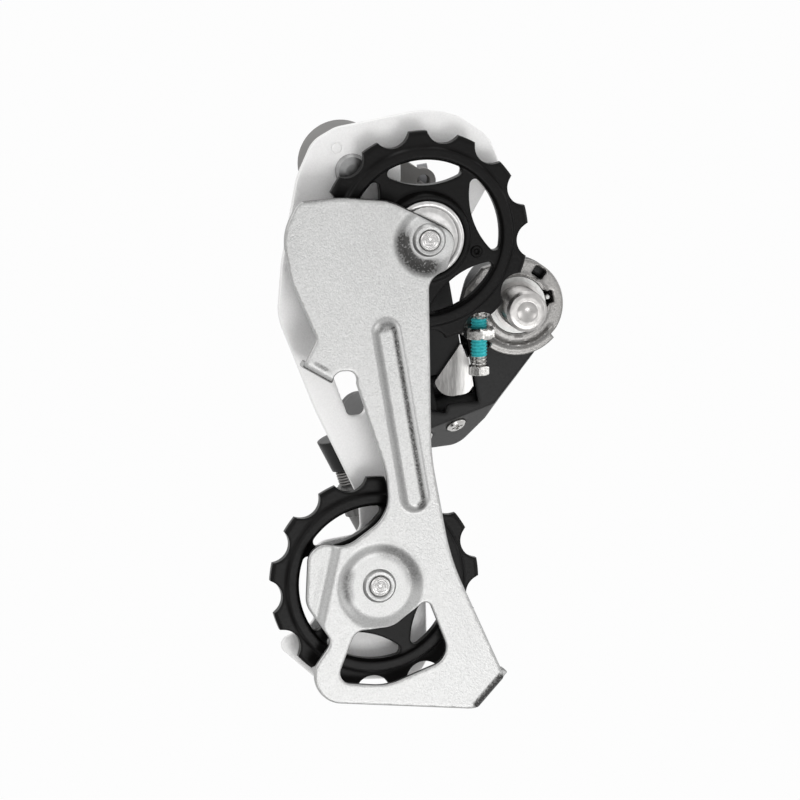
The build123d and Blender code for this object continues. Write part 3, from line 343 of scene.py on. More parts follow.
LOOKS = {
    # The inner plate's last figure is the strength of its painted shade.
    "inner_plate_steel": lambda n: zinc(n, (0.42, 0.42, 0.416), 0.40, 0.20, 0.95),
    "outer_plate_steel": lambda n: zinc(n, (0.93, 0.925, 0.92), 0.62, 0.05, metallic=0.5),
    "dust_cap_steel": lambda n: bright(n, (0.58, 0.573, 0.566), 0.32),
    "pulley_bolt_steel": lambda n: bright(n, (0.56, 0.552, 0.545), 0.24),
    "bolt_steel": lambda n: bright(n, (0.49, 0.478, 0.467), 0.30),
    "stopper_steel": lambda n: zinc(n, (0.26, 0.254, 0.247), 0.34, 0.34),
    "b_screw_steel": locked_thread,
    "limit_screw_steel": lambda n: bright(n, (0.60, 0.592, 0.577), 0.22),
    "spring_steel": lambda n: bright(n, (0.50, 0.50, 0.49), 0.33),
    "adjuster_spring_steel": lambda n: bright(n, (0.20, 0.195, 0.19), 0.42),
    "bracket_steel": streaked_with_painted_light,
    "pin_steel": lambda n: bright(n, (0.4, 0.4, 0.4), 0.3),
    "axle_steel": lambda n: bright(n, (0.32, 0.32, 0.32), 0.36),
    "bush_steel": lambda n: bright(n, (0.4, 0.4, 0.4), 0.3),
    "clamp_steel": lambda n: bright(n, (0.46, 0.46, 0.46), 0.3),
    "black_knuckle": lambda n: coated(n, (0.019, 0.019, 0.019), 0.34, specular=0.18, radius=0.0014),
    "black_link": lambda n: coated(n, (0.015, 0.015, 0.015), 0.36, specular=0.16),
    "outer_link_finish": lambda n: coated(n, (0.22, 0.22, 0.23), 0.4),
    "grey_knuckle": lambda n: coated(n, (0.26, 0.254, 0.248), 0.55, specular=0.2),
    "pulley_plastic": lambda n: coated(n, (0.0040, 0.0037, 0.0036), 0.30, specular=0.12, radius=0.0009),
    "adjuster_plastic": lambda n: coated(n, (0.19, 0.186, 0.183), 0.42, specular=0.25),
}


def dress_nodes():
    """Gives every CAD node its finish, and returns the finishes by slot."""
    made = {}
    slots = {part["node"]: part["material_slot"] for part in frame["record"]["subparts"]}
    for node, obj in frame["nodes"].items():
        slot = slots[node]
        if slot not in made:
            made[slot] = LOOKS[slot](slot).material
        obj.data.materials.clear()
        obj.data.materials.append(made[slot])
    return made


materials = dress_nodes()


# ---- surfaces from grids and outlines ------------------------------------------------------------
ARC_STEP, RUN_STEP = 0.25, 0.8   # how far apart an outline's points are, in mm
FOLD_RADIUS, FOLD_REACH, FOLD_SLACK = 1.8, 9.0, 4
SHARP_ANGLE, MERGE_DISTANCE = math.radians(40), 1e-6


def ease(low, high, value):
    """0 below low, 1 above high, and a smooth cubic step between them."""
    t = np.clip((value - low) / (high - low), 0, 1)
    return t * t * (3 - 2 * t)


def rounded(corners):
    """A closed outline, in mm, of straight runs joined by an arc of its own radius at each corner.

    Each arc touches both runs at radius / tan(half the corner's angle) from the corner.
    """
    corners = np.array(corners, dtype=float)
    spots, radii = corners[:, :2], corners[:, 2]
    back = np.roll(spots, 1, 0) - spots
    ahead = np.roll(spots, -1, 0) - spots
    back /= np.linalg.norm(back, axis=1)[:, None]
    ahead /= np.linalg.norm(ahead, axis=1)[:, None]
    half = np.arccos(np.clip(np.sum(back * ahead, 1), -1, 1)) / 2
    line = []
    for spot, a, b, r, h in zip(spots, back, ahead, radii, half):
        middle = spot + (a + b) / np.linalg.norm(a + b) * r / math.sin(h)
        start = spot + a * r / math.tan(h) - middle
        sweep = math.pi - 2 * h
        turn = -np.sign(a[1] * b[0] - a[0] * b[1])
        count = max(3, int(sweep * r / ARC_STEP) + 2)
        angle = math.atan2(start[1], start[0]) - turn * np.linspace(0, sweep, count)
        line.append(middle + r * np.stack([np.cos(angle), np.sin(angle)], 1))
    return filled(np.concatenate(line))


def filled(line):
    """A closed line with points added along its long runs."""
    parts = []
    for point, run in zip(line, np.roll(line, -1, 0) - line):
        count = max(1, int(np.linalg.norm(run) / RUN_STEP))
        parts.append(point + run * np.arange(count)[:, None] / count)
    return np.concatenate(parts)


def along_edge(start, end):
    """The unit step along an edge, the one that points out past it, and its length."""
    length = np.linalg.norm(end - start)
    ahead = (end - start) / length
    return ahead, np.array([-ahead[1], ahead[0]]), length


def circle(x, z, radius, count=64):
    angle = np.arange(count) * 2 * math.pi / count
    return np.stack([x + radius * np.cos(angle), z + radius * np.sin(angle)], 1)


def gap_to(points, line):
    """Distance from each point to a closed line."""
    run = np.roll(line, -1, 0) - line
    span = np.maximum(np.sum(run * run, 1), 1e-12)
    gaps = []
    for some in np.array_split(points, 1 + len(points) // 3000):
        from_start = some[:, None] - line[None]
        along = np.clip(np.sum(from_start * run, 2) / span, 0, 1)
        off = from_start - along[..., None] * run
        gaps.append(np.sqrt(np.min(np.sum(off * off, 2), 1)))
    return np.concatenate(gaps)


def inside(points, line):
    """Whether each point lies inside a closed line, by counting crossings."""
    x, z = points[:, :1], points[:, 1:]
    ax, az = line[:, 0], line[:, 1]
    bx, bz = np.roll(ax, -1), np.roll(az, -1)
    spans = (az > z) != (bz > z)
    cross = ax + (z - az) * (bx - ax) / np.where(bz == az, 1e-9, bz - az)
    return np.sum(spans & (x < cross), 1) % 2 == 1


def signed_area(line):
    return 0.5 * np.sum(line[:, 0] * np.roll(line[:, 1], -1) - np.roll(line[:, 0], -1) * line[:, 1])


def inward(line, distance):
    """A closed line moved towards the material on its left."""
    ahead = np.roll(line, -1, 0) - np.roll(line, 1, 0)
    ahead /= np.linalg.norm(ahead, axis=1)[:, None]
    return line + distance * np.stack([-ahead[:, 1], ahead[:, 0]], 1)


def plate_mesh(name, outline, holes, front, thickness, folds=(), edge=0.3, spacing=0.75, marking=None,
               rings=(), back=None):
    """A pressed plate of even thickness whose front face lies at y = front(x, z), in mm.

    Both faces fall away to the cut edge as a quarter circle of the edge radius. Then each fold bends
    what lies past its line. A mark function gives each spot a mark from 0 to 1 for the finish, which on
    the inner plate is painted shade. Rings are lines of extra points where the face turns sharply. A
    flat back lies at its own depth instead.
    """
    loops = [outline if signed_area(outline) > 0 else outline[::-1]]
    loops += [hole[::-1] if signed_area(hole) > 0 else hole for hole in holes]
    steps = [inward(loop, edge * part) for loop in loops for part in (0.12, 0.4, 1.0)] + list(rings)
    low, high = outline.min(0), outline.max(0)
    xs, zs = np.meshgrid(np.arange(low[0], high[0], spacing), np.arange(low[1], high[1], spacing * 0.87))
    xs[1::2] += spacing / 2
    grid = np.stack([xs.ravel(), zs.ravel()], 1)
    grid = grid[inside(grid, loops[0])]
    for loop in loops[1:]:
        grid = grid[~inside(grid, loop)]
    grid = grid[np.min([gap_to(grid, loop) for loop in loops], 0) > edge + spacing * 0.4]
    for ring in rings:
        grid = grid[gap_to(grid, ring) > 0.15]
    points = np.concatenate(loops + steps + [grid])
    edges, start = [], 0
    for loop in loops:
        index = start + np.arange(len(loop))
        edges.append(np.stack([index, np.roll(index, -1)], 1))
        start += len(loop)
    edges = np.concatenate(edges)
    spots, _, faces, _, _, _ = geometry.delaunay_2d_cdt(
        [Vector(p) for p in points.tolist()], edges.tolist(), [], 0, 1e-5, False)
    spots = np.array([tuple(s) for s in spots])
    faces = np.array(faces)
    middles = spots[faces].mean(1)
    keep = inside(middles, loops[0])
    for loop in loops[1:]:
        keep &= ~inside(middles, loop)
    faces = faces[keep]
    near = np.min([gap_to(spots, loop) for loop in loops], 0)
    fall = edge - np.sqrt(np.maximum(edge ** 2 - np.maximum(edge - near, 0) ** 2, 0))
    level = front(spots[:, 0], spots[:, 1])
    count = len(spots)
    top = np.stack([spots[:, 0], level + fall, spots[:, 1]], 1)
    far = level + thickness if back is None else back + 0 * level
    bottom = np.stack([spots[:, 0], far - fall, spots[:, 1]], 1)
    sides = np.stack([edges[:, 0], edges[:, 1], edges[:, 1] + count, edges[:, 0] + count], 1)
    polygons = faces.tolist() + (faces[:, ::-1] + count).tolist() + sides.tolist()
    body = np.concatenate([top, bottom])
    marks = marking(body[:, 0], body[:, 2]) if marking else None
    for fold in folds:
        body = fold(body)
    return mesh_from(name, body, polygons, marks)


def bend(start, end, level):
    """A fold past the line from start to end that turns what lies there to +Y.

    A spot at a depth t behind the face and a way s past the bend's start goes round an arc of
    radius - t through s / radius, and straight on after a quarter turn. The material lies on the
    line's right, and the part past it on the left.
    """
    ahead, out, length = along_edge(start, end)
    radius, quarter = FOLD_RADIUS, math.pi / 2

    def fold(body):
        flat = body[:, [0, 2]] - start
        s, along = flat @ out + radius, flat @ ahead
        t = body[:, 1] - level
        angle = np.clip(s / radius, 0, quarter)
        shift = (radius - t) * np.sin(angle) - s
        depth = level + radius - (radius - t) * np.cos(angle) + np.maximum(s - radius * quarter, 0)
        bent = np.stack([body[:, 0] + out[0] * shift, depth, body[:, 2] + out[1] * shift], 1)
        past = (s > 0) & (s < FOLD_REACH) & (along > -FOLD_SLACK) & (along < length + FOLD_SLACK)
        return np.where(past[:, None], bent, body)
    return fold


def mesh_from(name, points, polygons, marks=None, merged=False):
    """A smooth closed mesh from points in mm, with marks from 0 to 1 on its points.

    Merged joins the points that lie on one spot, such as a turned piece's on its axis.
    """
    mesh = bpy.data.meshes.new(name)
    mesh.from_pydata((points * MM).tolist(), [], polygons)
    if marks is not None:
        layer = mesh.attributes.new("marks", "FLOAT", "POINT")
        layer.data.foreach_set("value", marks.astype(np.float32))
    made = bmesh.new()
    made.from_mesh(mesh)
    if merged:
        bmesh.ops.remove_doubles(made, verts=made.verts, dist=MERGE_DISTANCE)
    bmesh.ops.recalc_face_normals(made, faces=made.faces)
    made.to_mesh(mesh)
    made.free()
    mesh.shade_smooth()
    mesh.set_sharp_from_angle(angle=SHARP_ANGLE)
    return mesh


def lathe(name, profile, x, z, along=(0, 1, 0), y=0.0, count=96, fine=0.12, wave=None, marking=None):
    """A turned piece: the radius and height of its profile, in mm, swept once round an axis.

    Long runs of the profile are filled with points. A wave adds to the radius by height, angle and
    radius, and press gives each height's mark for the finish.
    """
    profile = np.array(profile, dtype=float)
    rows = [profile[:1]]
    for a, b in zip(profile[:-1], profile[1:]):
        steps = max(1, int(np.linalg.norm(b - a) / fine)) if wave else 3
        rows.append(a + (b - a) * (np.arange(steps)[:, None] + 1) / steps)
    profile = np.concatenate(rows)
    angle = np.arange(count) * 2 * math.pi / count
    radius = profile[:, :1] + 0 * angle
    height = profile[:, 1:] + 0 * angle
    if wave:
        radius = np.maximum(radius + wave(height, angle + 0 * height, radius), 0)
    axis = np.array(along, dtype=float)
    axis /= np.linalg.norm(axis)
    side = np.cross(axis, (0.3, 0.2, 1.0) if abs(axis[2]) < 0.9 else (1.0, 0, 0))
    side /= np.linalg.norm(side)
    other = np.cross(axis, side)
    spots = (np.array([x, y, z]) + height[..., None] * axis
             + radius[..., None] * (np.cos(angle)[:, None] * side + np.sin(angle)[:, None] * other))
    rows, count = spots.shape[:2]
    index = np.arange(rows * count).reshape(rows, count)
    here, there = index[:-1], np.roll(index, -1, 1)[:-1]
    up, upper = index[1:], np.roll(index, -1, 1)[1:]
    polygons = np.stack([here, there, upper, up], 2).reshape(-1, 4).tolist()
    marks = marking(height).ravel() if marking else None
    return mesh_from(name, spots.reshape(-1, 3), polygons, marks, merged=True)


def add_piece(name, mesh, body, slot, *nodes):
    """Adds a piece that rides on a body, takes a slot's finish and stands for CAD nodes."""
    piece = bpy.data.objects.new(name, mesh)
    bpy.context.collection.objects.link(piece)
    mesh.materials.append(materials[slot])
    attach(piece, body)
    if nodes:
        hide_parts(*nodes)


# ---- the cage's plates ---------------------------------------------------------------------------
GUIDE, TENSION, AXLE = np.array((-26.3, 19.9)), np.array((-38.5, -63.4)), np.array((-42.8, 35.6))
INNER_FACE, OUTER_FACE, PLATE = -20.2, -8.6, 1.6
FOOT_EDGE = (TENSION + (30.8, -23.6), TENSION + (24.2, -30.9))
SKIRT_EDGE = (GUIDE + (-23.9, -33.9), GUIDE + (-31.0, -29.7))
FLANGE_PAST, TAB_FROM = 4.7, 1.1  # how far past a folded edge the flat blank ends, and its tab starts
INNER_HOLE, OUTER_HOLE, AXLE_HOLE = 2.5, 2.55, 3.5
RIB = (GUIDE + (-10.7, -21.8), TENSION + (8.4, 21.1))
DISHES = ((GUIDE, 5.9, 9.0), (TENSION, 7.6, 10.8))   # a centre, and the radii of its floor and its rim
RIB_DEPTH, TONGUE_DEPTH = 1.2, 0.9


def from_guide(*corners):
    return [(GUIDE[0] + x, GUIDE[1] + z, radius) for x, z, radius in corners]


def from_tension(*corners):
    return [(TENSION[0] + x, TENSION[1] + z, radius) for x, z, radius in corners]


def flange(edge, tab=0.0):
    """The corners of a flange's blank, past an edge, with a tab before its start."""
    start, end = edge
    ahead, out, _ = along_edge(start, end)
    corners = [(*start, 0.25)]
    if tab:
        corners += [(*(start + out * TAB_FROM), 0.2), (*(start + out * TAB_FROM - ahead * tab), 0.5)]
    corners += [(*(start + out * FLANGE_PAST - ahead * tab), 0.9), (*(end + out * FLANGE_PAST), 0.9)]
    return corners + [(*end, 0.25)]


def inner_blank():
    top = from_guide((-32.3, 10.4, 3.2), (-21.0, 11.1, 30.0), (-9.5, 9.9, 14.0), (7.4, 1.0, 4.5),
                     (4.4, -6.9, 3.0), (-0.2, -9.6, 4.0), (0.4, -52.0, 60.0))
    foot = from_tension((17.4, 6.0, 60.0)) + flange(FOOT_EDGE, 1.5)
    foot += from_tension((-17.0, -27.5, 7.0), (-15.8, -18.8, 4.0), (-11.8, -13.0, 2.5),
                         (-17.9, -4.0, 6.0), (-17.2, 12.4, 4.5), (-8.6, 9.3, 7.0),
                         (2.3, 17.2, 9.0), (1.6, 27.5, 20.0))
    side = from_guide((-17.9, -34.0, 2.0), (-17.4, -30.8, 2.4), (-23.2, -30.8, 2.6)) + flange(SKIRT_EDGE)
    side += from_guide((-27.5, -22.8, 1.5), (-33.8, -8.6, 12.0), (-36.0, 2.5, 12.0))
    return rounded(top + foot + side)


def foot_window():
    return rounded(from_tension((11.8, -3.4, 1.6), (17.5, -18.0, 4.5), (1.5, -24.2, 14.0),
                                (-10.8, -22.9, 2.6), (-6.0, -10.7, 3.2), (3.2, -9.9, 7.0)))


def to_rib(x, z):
    """Distance from the rib's middle line."""
    start, run = RIB[0], RIB[1] - RIB[0]
    along = np.clip(((x - start[0]) * run[0] + (z - start[1]) * run[1]) / (run @ run), 0, 1)
    return np.hypot(x - start[0] - along * run[0], z - start[1] - along * run[1])


def past_tongue(x, z):
    """How far a spot lies past the line where the foot's tongue steps back."""
    return TENSION[0] - 11.6 - x + 0.22 * (z - TENSION[1])


def inner_front(x, z):
    """The inner plate's face: a dish with a collar round each bolt, a rounded rib, and the tongue."""
    face = INNER_FACE - RIB_DEPTH * (1 - ease(1.8, 3.6, to_rib(x, z)))
    for centre, floor, rim in DISHES:
        r = np.hypot(x - centre[0], z - centre[1])
        face = face + (1 - ease(floor, rim, r)) * ease(3.6, 4.1, r)
    tongue = ease(0.0, 2.2, past_tongue(x, z)) * (1 - ease(13.0, 16.0, np.abs(z - TENSION[1] + 2)))
    return face + TONGUE_DEPTH * tongue


def sector(x, z, centre, angle, spread):
    """1 in one direction from a centre, falling to 0 at the spread in degrees."""
    turn = np.degrees(np.arctan2(z - centre[1], x - centre[0])) - angle
    return 1 - ease(0.35 * spread, spread, np.abs((turn + 180) % 360 - 180))


def line_gap(x, z, edge):
    """How far a spot lies inside a folded edge, and how far along it, from 0 to 1."""
    start = edge[0]
    ahead, _, length = along_edge(*edge)
    across = (x - start[0]) * ahead[1] - (z - start[1]) * ahead[0]
    return across, ((x - start[0]) * ahead[0] + (z - start[1]) * ahead[1]) / length


def dish_painted_shade(x, z):
    """Painted shade on parts of the dishes' sides and at the step to the tongue, with their amounts."""
    r = np.hypot(x - GUIDE[0], z - GUIDE[1])
    low = ease(3.9, 5.2, r) * (1 - ease(6.8, 11.0, r)) * sector(x, z, GUIDE, 224, 112)
    r = np.hypot(x - TENSION[0], z - TENSION[1])
    upper = ease(4.6, 8.0, r) * (1 - ease(9.0, 13.5, r)) * sector(x, z, TENSION, 46, 78)
    left = ease(5.0, 7.6, r) * (1 - ease(8.2, 11.0, r)) * sector(x, z, TENSION, 178, 48)
    past = past_tongue(x, z)
    tongue = ease(1.6, 3.2, past) * (1 - ease(3.8, 5.0, past))
    tongue = tongue * (1 - ease(5.0, 9.0, np.abs(z - TENSION[1] + 1)))
    return [(low, 0.95), (upper, 0.66), (left, 0.68), (tongue, 0.35)]


def rib_painted_shade(x, z):
    """Painted shade on the rib's shoulder, flank and upper end and by its lower end, with their amounts."""
    start, run = RIB[0], RIB[1] - RIB[0]
    rib = to_rib(x, z)
    side = (x - start[0]) * -run[1] + (z - start[1]) * run[0]
    share = ((x - start[0]) * run[0] + (z - start[1]) * run[1]) / (run @ run)
    shoulder = ease(0.5, 1.5, rib) * (1 - ease(2.3, 3.0, rib)) * (side > 0) * (share > -0.03) * (share < 1.04)
    flank = ease(1.4, 2.4, rib) * (1 - ease(2.6, 3.6, rib)) * (side < 0) * (share > -0.02) * (share < 1.03)
    cap = (1 - ease(2.4, 3.4, rib)) * (1 - ease(-0.02, 0.01, share))
    low = 1 - ease(0.8, 2.0, np.hypot(x - RIB[1][0] - 1.6, z - RIB[1][1] + 1.6))
    return [(shoulder, 0.8), (flank, 0.5), (cap, 0.66), (low, 0.7)]


def fold_painted_shade(x, z):
    """Painted shade by the foot's folded edge and the skirt's crease, with a patch inside it, and amounts."""
    gap, share = line_gap(x, z, FOOT_EDGE)
    painted_band = (1 - ease(1.9, 2.6, gap)) * (gap > -1.9) * (share > -0.02) * (share < 1.02)
    gap, share = line_gap(x, z, SKIRT_EDGE)
    crease = (1 - ease(0.2, 0.5, np.abs(gap - 0.2))) * (share > -0.02) * (share < 1.02)
    patch = (1 - ease(0.3, 0.9, np.abs(gap - 2.5))) * ease(0.1, 0.4, share) * (1 - ease(0.7, 0.95, share))
    return [(painted_band, 0.84), (crease, 1.0), (patch, 0.7)]


def inner_painted_shade(x, z):
    """Painted shade: by the dishes, the rib and the folds, and along the top and right-facing cut rims."""
    marks = np.zeros_like(x)
    for more, amount in dish_painted_shade(x, z) + rib_painted_shade(x, z) + fold_painted_shade(x, z):
        marks = np.maximum(marks, amount * more)
    blank, spots = inner_blank(), np.stack([x, z], 1)
    rim = 1 - ease(0.1, 0.5, gap_to(spots, blank))
    # Painted shade along the cut rim at the plate's top and along the rims that face right.
    top_rim_shade = rim * ease(GUIDE[1] - 1, GUIDE[1] + 3, z) * (x > GUIDE[0] - 31)
    right_rim_shade = rim * ~inside(spots + (0.6, 0), blank)
    return np.maximum(marks, 0.7 * top_rim_shade + 0.6 * right_rim_shade)


def add_inner_plate():
    holes = [foot_window(), circle(*GUIDE, INNER_HOLE), circle(*TENSION, INNER_HOLE)]
    folds = [bend(*FOOT_EDGE, INNER_FACE), bend(*SKIRT_EDGE, INNER_FACE)]
    rings = [circle(*centre, radius, 96) for centre in (GUIDE, TENSION) for radius in (3.5, 3.8, 4.1)]
    for start, end in (FOOT_EDGE, SKIRT_EDGE):
        ahead, out, _ = along_edge(start, end)
        along = np.linspace(start + ahead * 0.6, end - ahead * 0.6, 24)
        rings += [along + out * past for past in (-1.6, -1.1, -0.6, -0.1, 0.4, 0.9)]
    # The inner plate's marks are painted shade for its finish.
    mesh = plate_mesh("inner_plate_pressed", inner_blank(), holes, inner_front, PLATE, folds,
                      edge=0.4, spacing=0.5, marking=inner_painted_shade, rings=rings)
    add_piece("inner_plate_pressed", mesh, "cage", "inner_plate_steel", "inner_plate")


def outer_blank():
    top = from_guide((-29.9, 14.5, 20.0), (-26.0, 23.1, 7.0), (-20.4, 26.2, 8.0), (1.0, 29.8, 24.0),
                     (9.0, 28.4, 14.0), (17.0, 22.8, 8.0), (19.9, 16.0, 4.0), (11.5, 1.5, 8.0),
                     (-3.5, -22.0, 40.0), (-3.0, -52.0, 40.0))
    foot = from_tension((13.5, 8.0, 12.0), (14.5, -25.0, 6.0), (-12.5, -24.5, 5.0), (-23.2, -15.0, 2.2),
                        (-13.2, -10.0, 3.0), (-14.6, 9.0, 5.0), (-2.0, 10.8, 3.0), (-2.6, 19.5, 10.0))
    side = from_guide((-25.5, -41.8, 60.0), (-34.6, -19.0, 14.0), (-33.6, -6.0, 30.0))
    return rounded(top + foot + side)


HOOK = AXLE + 6.6 * np.array((math.cos(math.radians(123)), math.sin(math.radians(123))))


def outer_front(x, z):
    """The outer plate's flat face, with two fine rings over the spring's hook."""
    r = np.hypot(x - HOOK[0], z - HOOK[1])
    outer, inner = 1 - ease(0.0, 0.22, np.abs(r - 1.25)), 1 - ease(0.0, 0.25, np.abs(r - 0.5))
    return OUTER_FACE + 0.1 * outer + 0.05 * inner


def add_outer_plate():
    slot = rounded(from_guide((-22.2, -30.8, 2.2), (-12.8, -30.8, 2.2),
                              (-13.4, -43.6, 1.7), (-17.4, -43.8, 1.7)))
    window = rounded(from_guide((-4.5, 10.2, 2.0), (9.0, 10.2, 3.0), (11.4, 20.4, 4.0), (-4.5, 21.6, 2.0)))
    holes = [slot, window, circle(*GUIDE, OUTER_HOLE), circle(*TENSION, OUTER_HOLE), circle(*AXLE, AXLE_HOLE)]
    rings = [circle(*HOOK, radius, 48) for radius in (0.15, 0.35, 0.6, 0.85, 1.03, 1.14, 1.25, 1.36, 1.5)]
    mesh = plate_mesh("outer_plate_stamped", outer_blank(), holes, outer_front, PLATE, edge=0.4,
                      spacing=1.1, rings=rings)
    add_piece("outer_plate_stamped", mesh, "cage", "outer_plate_steel", "outer_plate")


# ---- turned pieces -------------------------------------------------------------------------------
PULLEY_PLANE, WEB_HALF, HUB_HALF = -13.1, 1.3, 3.65
GATE_OUT, GATE_HEADING = 13.3, math.radians(-17.5)


def hexagon(angle, flat):
    """Distance from a hexagon's middle to its side, by angle."""
    return flat / np.cos(np.mod(angle, math.pi / 3) - math.pi / 6)


def add_dust_caps():
    """Pressed caps on a pulley's hub: a flat, a fine groove and a rolled rim."""
    section = [(3.65, 0.0), (3.65, 0.45), (4.0, 0.5), (7.2, 0.5), (7.45, 0.34), (7.7, 0.5), (8.1, 0.68),
               (8.6, 0.68), (8.95, 0.5), (9.1, 0.2), (9.1, 0.0), (3.65, 0.0)]
    for name, centre in (("guide", GUIDE), ("tension", TENSION)):
        for side, place in ((-1, "inboard"), (1, "outboard")):
            face = PULLEY_PLANE + side * HUB_HALF
            mesh = lathe(f"{name}_cap_{place}", section, *centre, along=(0, side, 0), y=face)
            add_piece(f"{name}_cap_{place}", mesh, name, "dust_cap_steel", f"{name}_dust_caps")


def add_pulley_bolts():
    """Button-head bolts with a hexagonal socket, and faint turned rings on the far end."""
    section = [(0, -20.2), (0.35, -20.15), (0.7, -20.32), (1.05, -20.2), (1.4, -20.42), (1.65, -20.34),
               (1.95, -20.55), (2.2, -20.5), (2.45, -20.2), (2.45, -7.0), (4.3, -7.0), (4.3, -5.7),
               (4.05, -5.2), (3.5, -4.8), (1.7, -4.8), (1.5, -5.0), (1.5, -6.2), (0, -6.5)]

    def socket(height, angle, radius):
        return ((height > -6.4) & (radius < 1.8) & (radius > 1.0)) * (hexagon(angle, 1.5) - 1.5)

    for name, centre in (("guide", GUIDE), ("tension", TENSION)):
        mesh = lathe(f"{name}_pulley_bolt", section, *centre, wave=socket, fine=0.3)
        add_piece(f"{name}_pulley_bolt", mesh, "cage", "pulley_bolt_steel", "pulley_bolts")


def add_gate_mark():
    """The small raised ring that moulding leaves on the guide pulley's web."""
    x, z = GUIDE + GATE_OUT * np.array((math.cos(GATE_HEADING), math.sin(GATE_HEADING)))
    section = [(0, -0.1), (0, 0.03), (0.65, 0.03), (0.85, 0.3), (1.2, 0.34), (1.5, 0.0), (1.5, -0.1),
               (0, -0.1)]
    mesh = lathe("guide_gate_mark", section, x, z, along=(0, -1, 0), y=PULLEY_PLANE - WEB_HALF, count=48)
    add_piece("guide_gate_mark", mesh, "guide", "pulley_plastic")


# ---- the hanger's pieces -------------------------------------------------------------------------
B_SCREW_X, B_SCREW_Y = -10.4, -3.4
STOPPER_RADIUS, LIP_RADIUS = 11.2, 12.3
SPRING_RADIUS, SPRING_WIRE, SPRING_HEADING = 7.6, 1.2, 12
SPRING_LOW, SPRING_PITCH, SPRING_TURNS = 3.7, 1.72, 5
SPRING_END = 0.65                # the radius of the spring's straight ends
WIRE_SIDES, TURN_STEPS = 12, 48


def add_mounting_bolt():
    """The hanger bolt: a cupped end, a fine thread, a shank, and a head with a hexagonal socket."""
    bowl = [(2.5 * t, -10 + 0.95 * (1 - t * t)) for t in np.linspace(0, 1, 14)]
    section = bowl + [(3.5, -10.0), (3.9, -9.96), (4.3, -9.9), (5.0, -9.2), (5.0, -0.4), (4.7, 0.0),
                      (5.8, 0.0), (5.8, 0.15), (5.3, 0.15), (5.3, 1.15), (6.0, 1.15), (6.0, 17.15),
                      (8.0, 17.15), (8.0, 20.35), (7.2, 21.15), (2.7, 21.15), (2.5, 20.9), (2.5, 18.15),
                      (0, 17.8)]

    def wave(height, angle, radius):
        thread = ease(-9.3, -8.6, height) * (1 - ease(-1.2, -0.4, height)) * (radius > 4.6)
        socket = ((height > 18) & (radius < 2.8) & (radius > 2.0)) * (hexagon(angle, 2.5) - 2.5)
        return socket - 0.2 * thread * (0.5 + 0.5 * np.cos(2 * math.pi * height - angle))

    add_piece("hanger_bolt", lathe("hanger_bolt", section, 0, 0, wave=wave), "hanger_side", "bolt_steel",
              "mounting_bolt")


def add_b_screw():
    """The B-tension screw: a coarse thread with dried thread lock, and a hexagonal head with a cross."""
    section = [(0, -14.9), (1.0, -14.9), (1.3, -15.9), (2.35, -15.9), (2.75, -15.6), (2.75, -14.0),
               (2.45, -13.7), (1.7, -13.7), (2.0, -13.2), (2.0, 3.7), (1.4, 4.3), (0, 4.3)]

    def wave(height, angle, radius):
        thread = ease(-13.3, -12.9, height) * (1 - ease(3.4, 4.0, height)) * (radius > 1.5)
        turn = 0.5 + 0.5 * np.cos(2 * math.pi * height / 0.8 - angle)
        head = (height < -13.69) * (radius > 1.8) * np.minimum(hexagon(angle + 0.14, 2.4) - radius, 0)
        arms = 0.45 + 0.55 * np.abs(np.cos(2 * angle)) ** 3
        cross = (height < -14.5) * (radius < 1.5) * radius * (arms - 1)
        return head + cross - 0.34 * thread * turn

    def marking(height):
        return ease(-11.6, -11.1, height) * (1 - ease(-2.4, -1.9, height))

    mesh = lathe("b_screw_threaded", section, B_SCREW_X, 0, along=(0, 0, 1), y=B_SCREW_Y, wave=wave,
                 marking=marking, count=72)
    add_piece("b_screw_threaded", mesh, "tension_screw", "b_screw_steel", "b_tension_screw")


def stopper_blank():
    """The ring, its wing and its stop lip: at each angle, the farthest of the three from the bolt's axis."""
    wing = np.array([(-4.0, 10.6), (-8.6, 9.3), (-12.6, 4.6), (-14.2, -0.6), (-13.8, -3.4), (-13.8, -6.9),
                     (-7.0, -8.3), (0.0, -8.0)])
    angle = np.radians(np.arange(0, 360, 0.8))
    way = np.stack([np.cos(angle), np.sin(angle)], 1)[:, None]
    start, run = wing[None], (np.roll(wing, -1, 0) - wing)[None]
    turn = way[..., 0] * run[..., 1] - way[..., 1] * run[..., 0]
    out = (start[..., 0] * run[..., 1] - start[..., 1] * run[..., 0]) / turn
    along = (start[..., 0] * way[..., 1] - start[..., 1] * way[..., 0]) / turn
    reach = np.max(np.where((along >= 0) & (along <= 1) & (out > 0), out, 0), 1)
    heading = np.degrees(angle) - 360 * (angle > math.pi)
    reach = np.maximum(reach, np.where((heading > -125) & (heading < -42), LIP_RADIUS, STOPPER_RADIUS))
    return reach[:, None] * way[:, 0]


def turned_box(distance, heading, length, width):
    """A box with soft corners, at a distance and heading from the bolt's axis and turned with it."""
    a = math.radians(heading)
    along, across = np.array((math.cos(a), math.sin(a))), np.array((-math.sin(a), math.cos(a)))
    middle = along * distance
    corners = [middle + along * length / 2 * i + across * width / 2 * j
               for i, j in ((-1, -1), (1, -1), (1, 1), (-1, 1))]
    return rounded([(*corner, 0.3) for corner in corners])


def stopper_front(x, z):
    """The stopper plate's face: a step for the snap ring, a low ridge, and a rolled lower rim."""
    r = np.hypot(x, z)
    heading = np.degrees(np.arctan2(z, x))
    face = 1.15 * (1 - ease(6.9, 7.05, r)) - 0.22 * (1 - ease(0.0, 0.45, np.abs(r - 7.6)))
    lower = ease(-165, -150, heading) * (1 - ease(-40, -30, heading))
    return face - 0.75 * lower * (1 - ease(0.15, 0.7, np.abs(r - 9.7))) + 0.35 * lower * ease(10.4, 10.9, r)


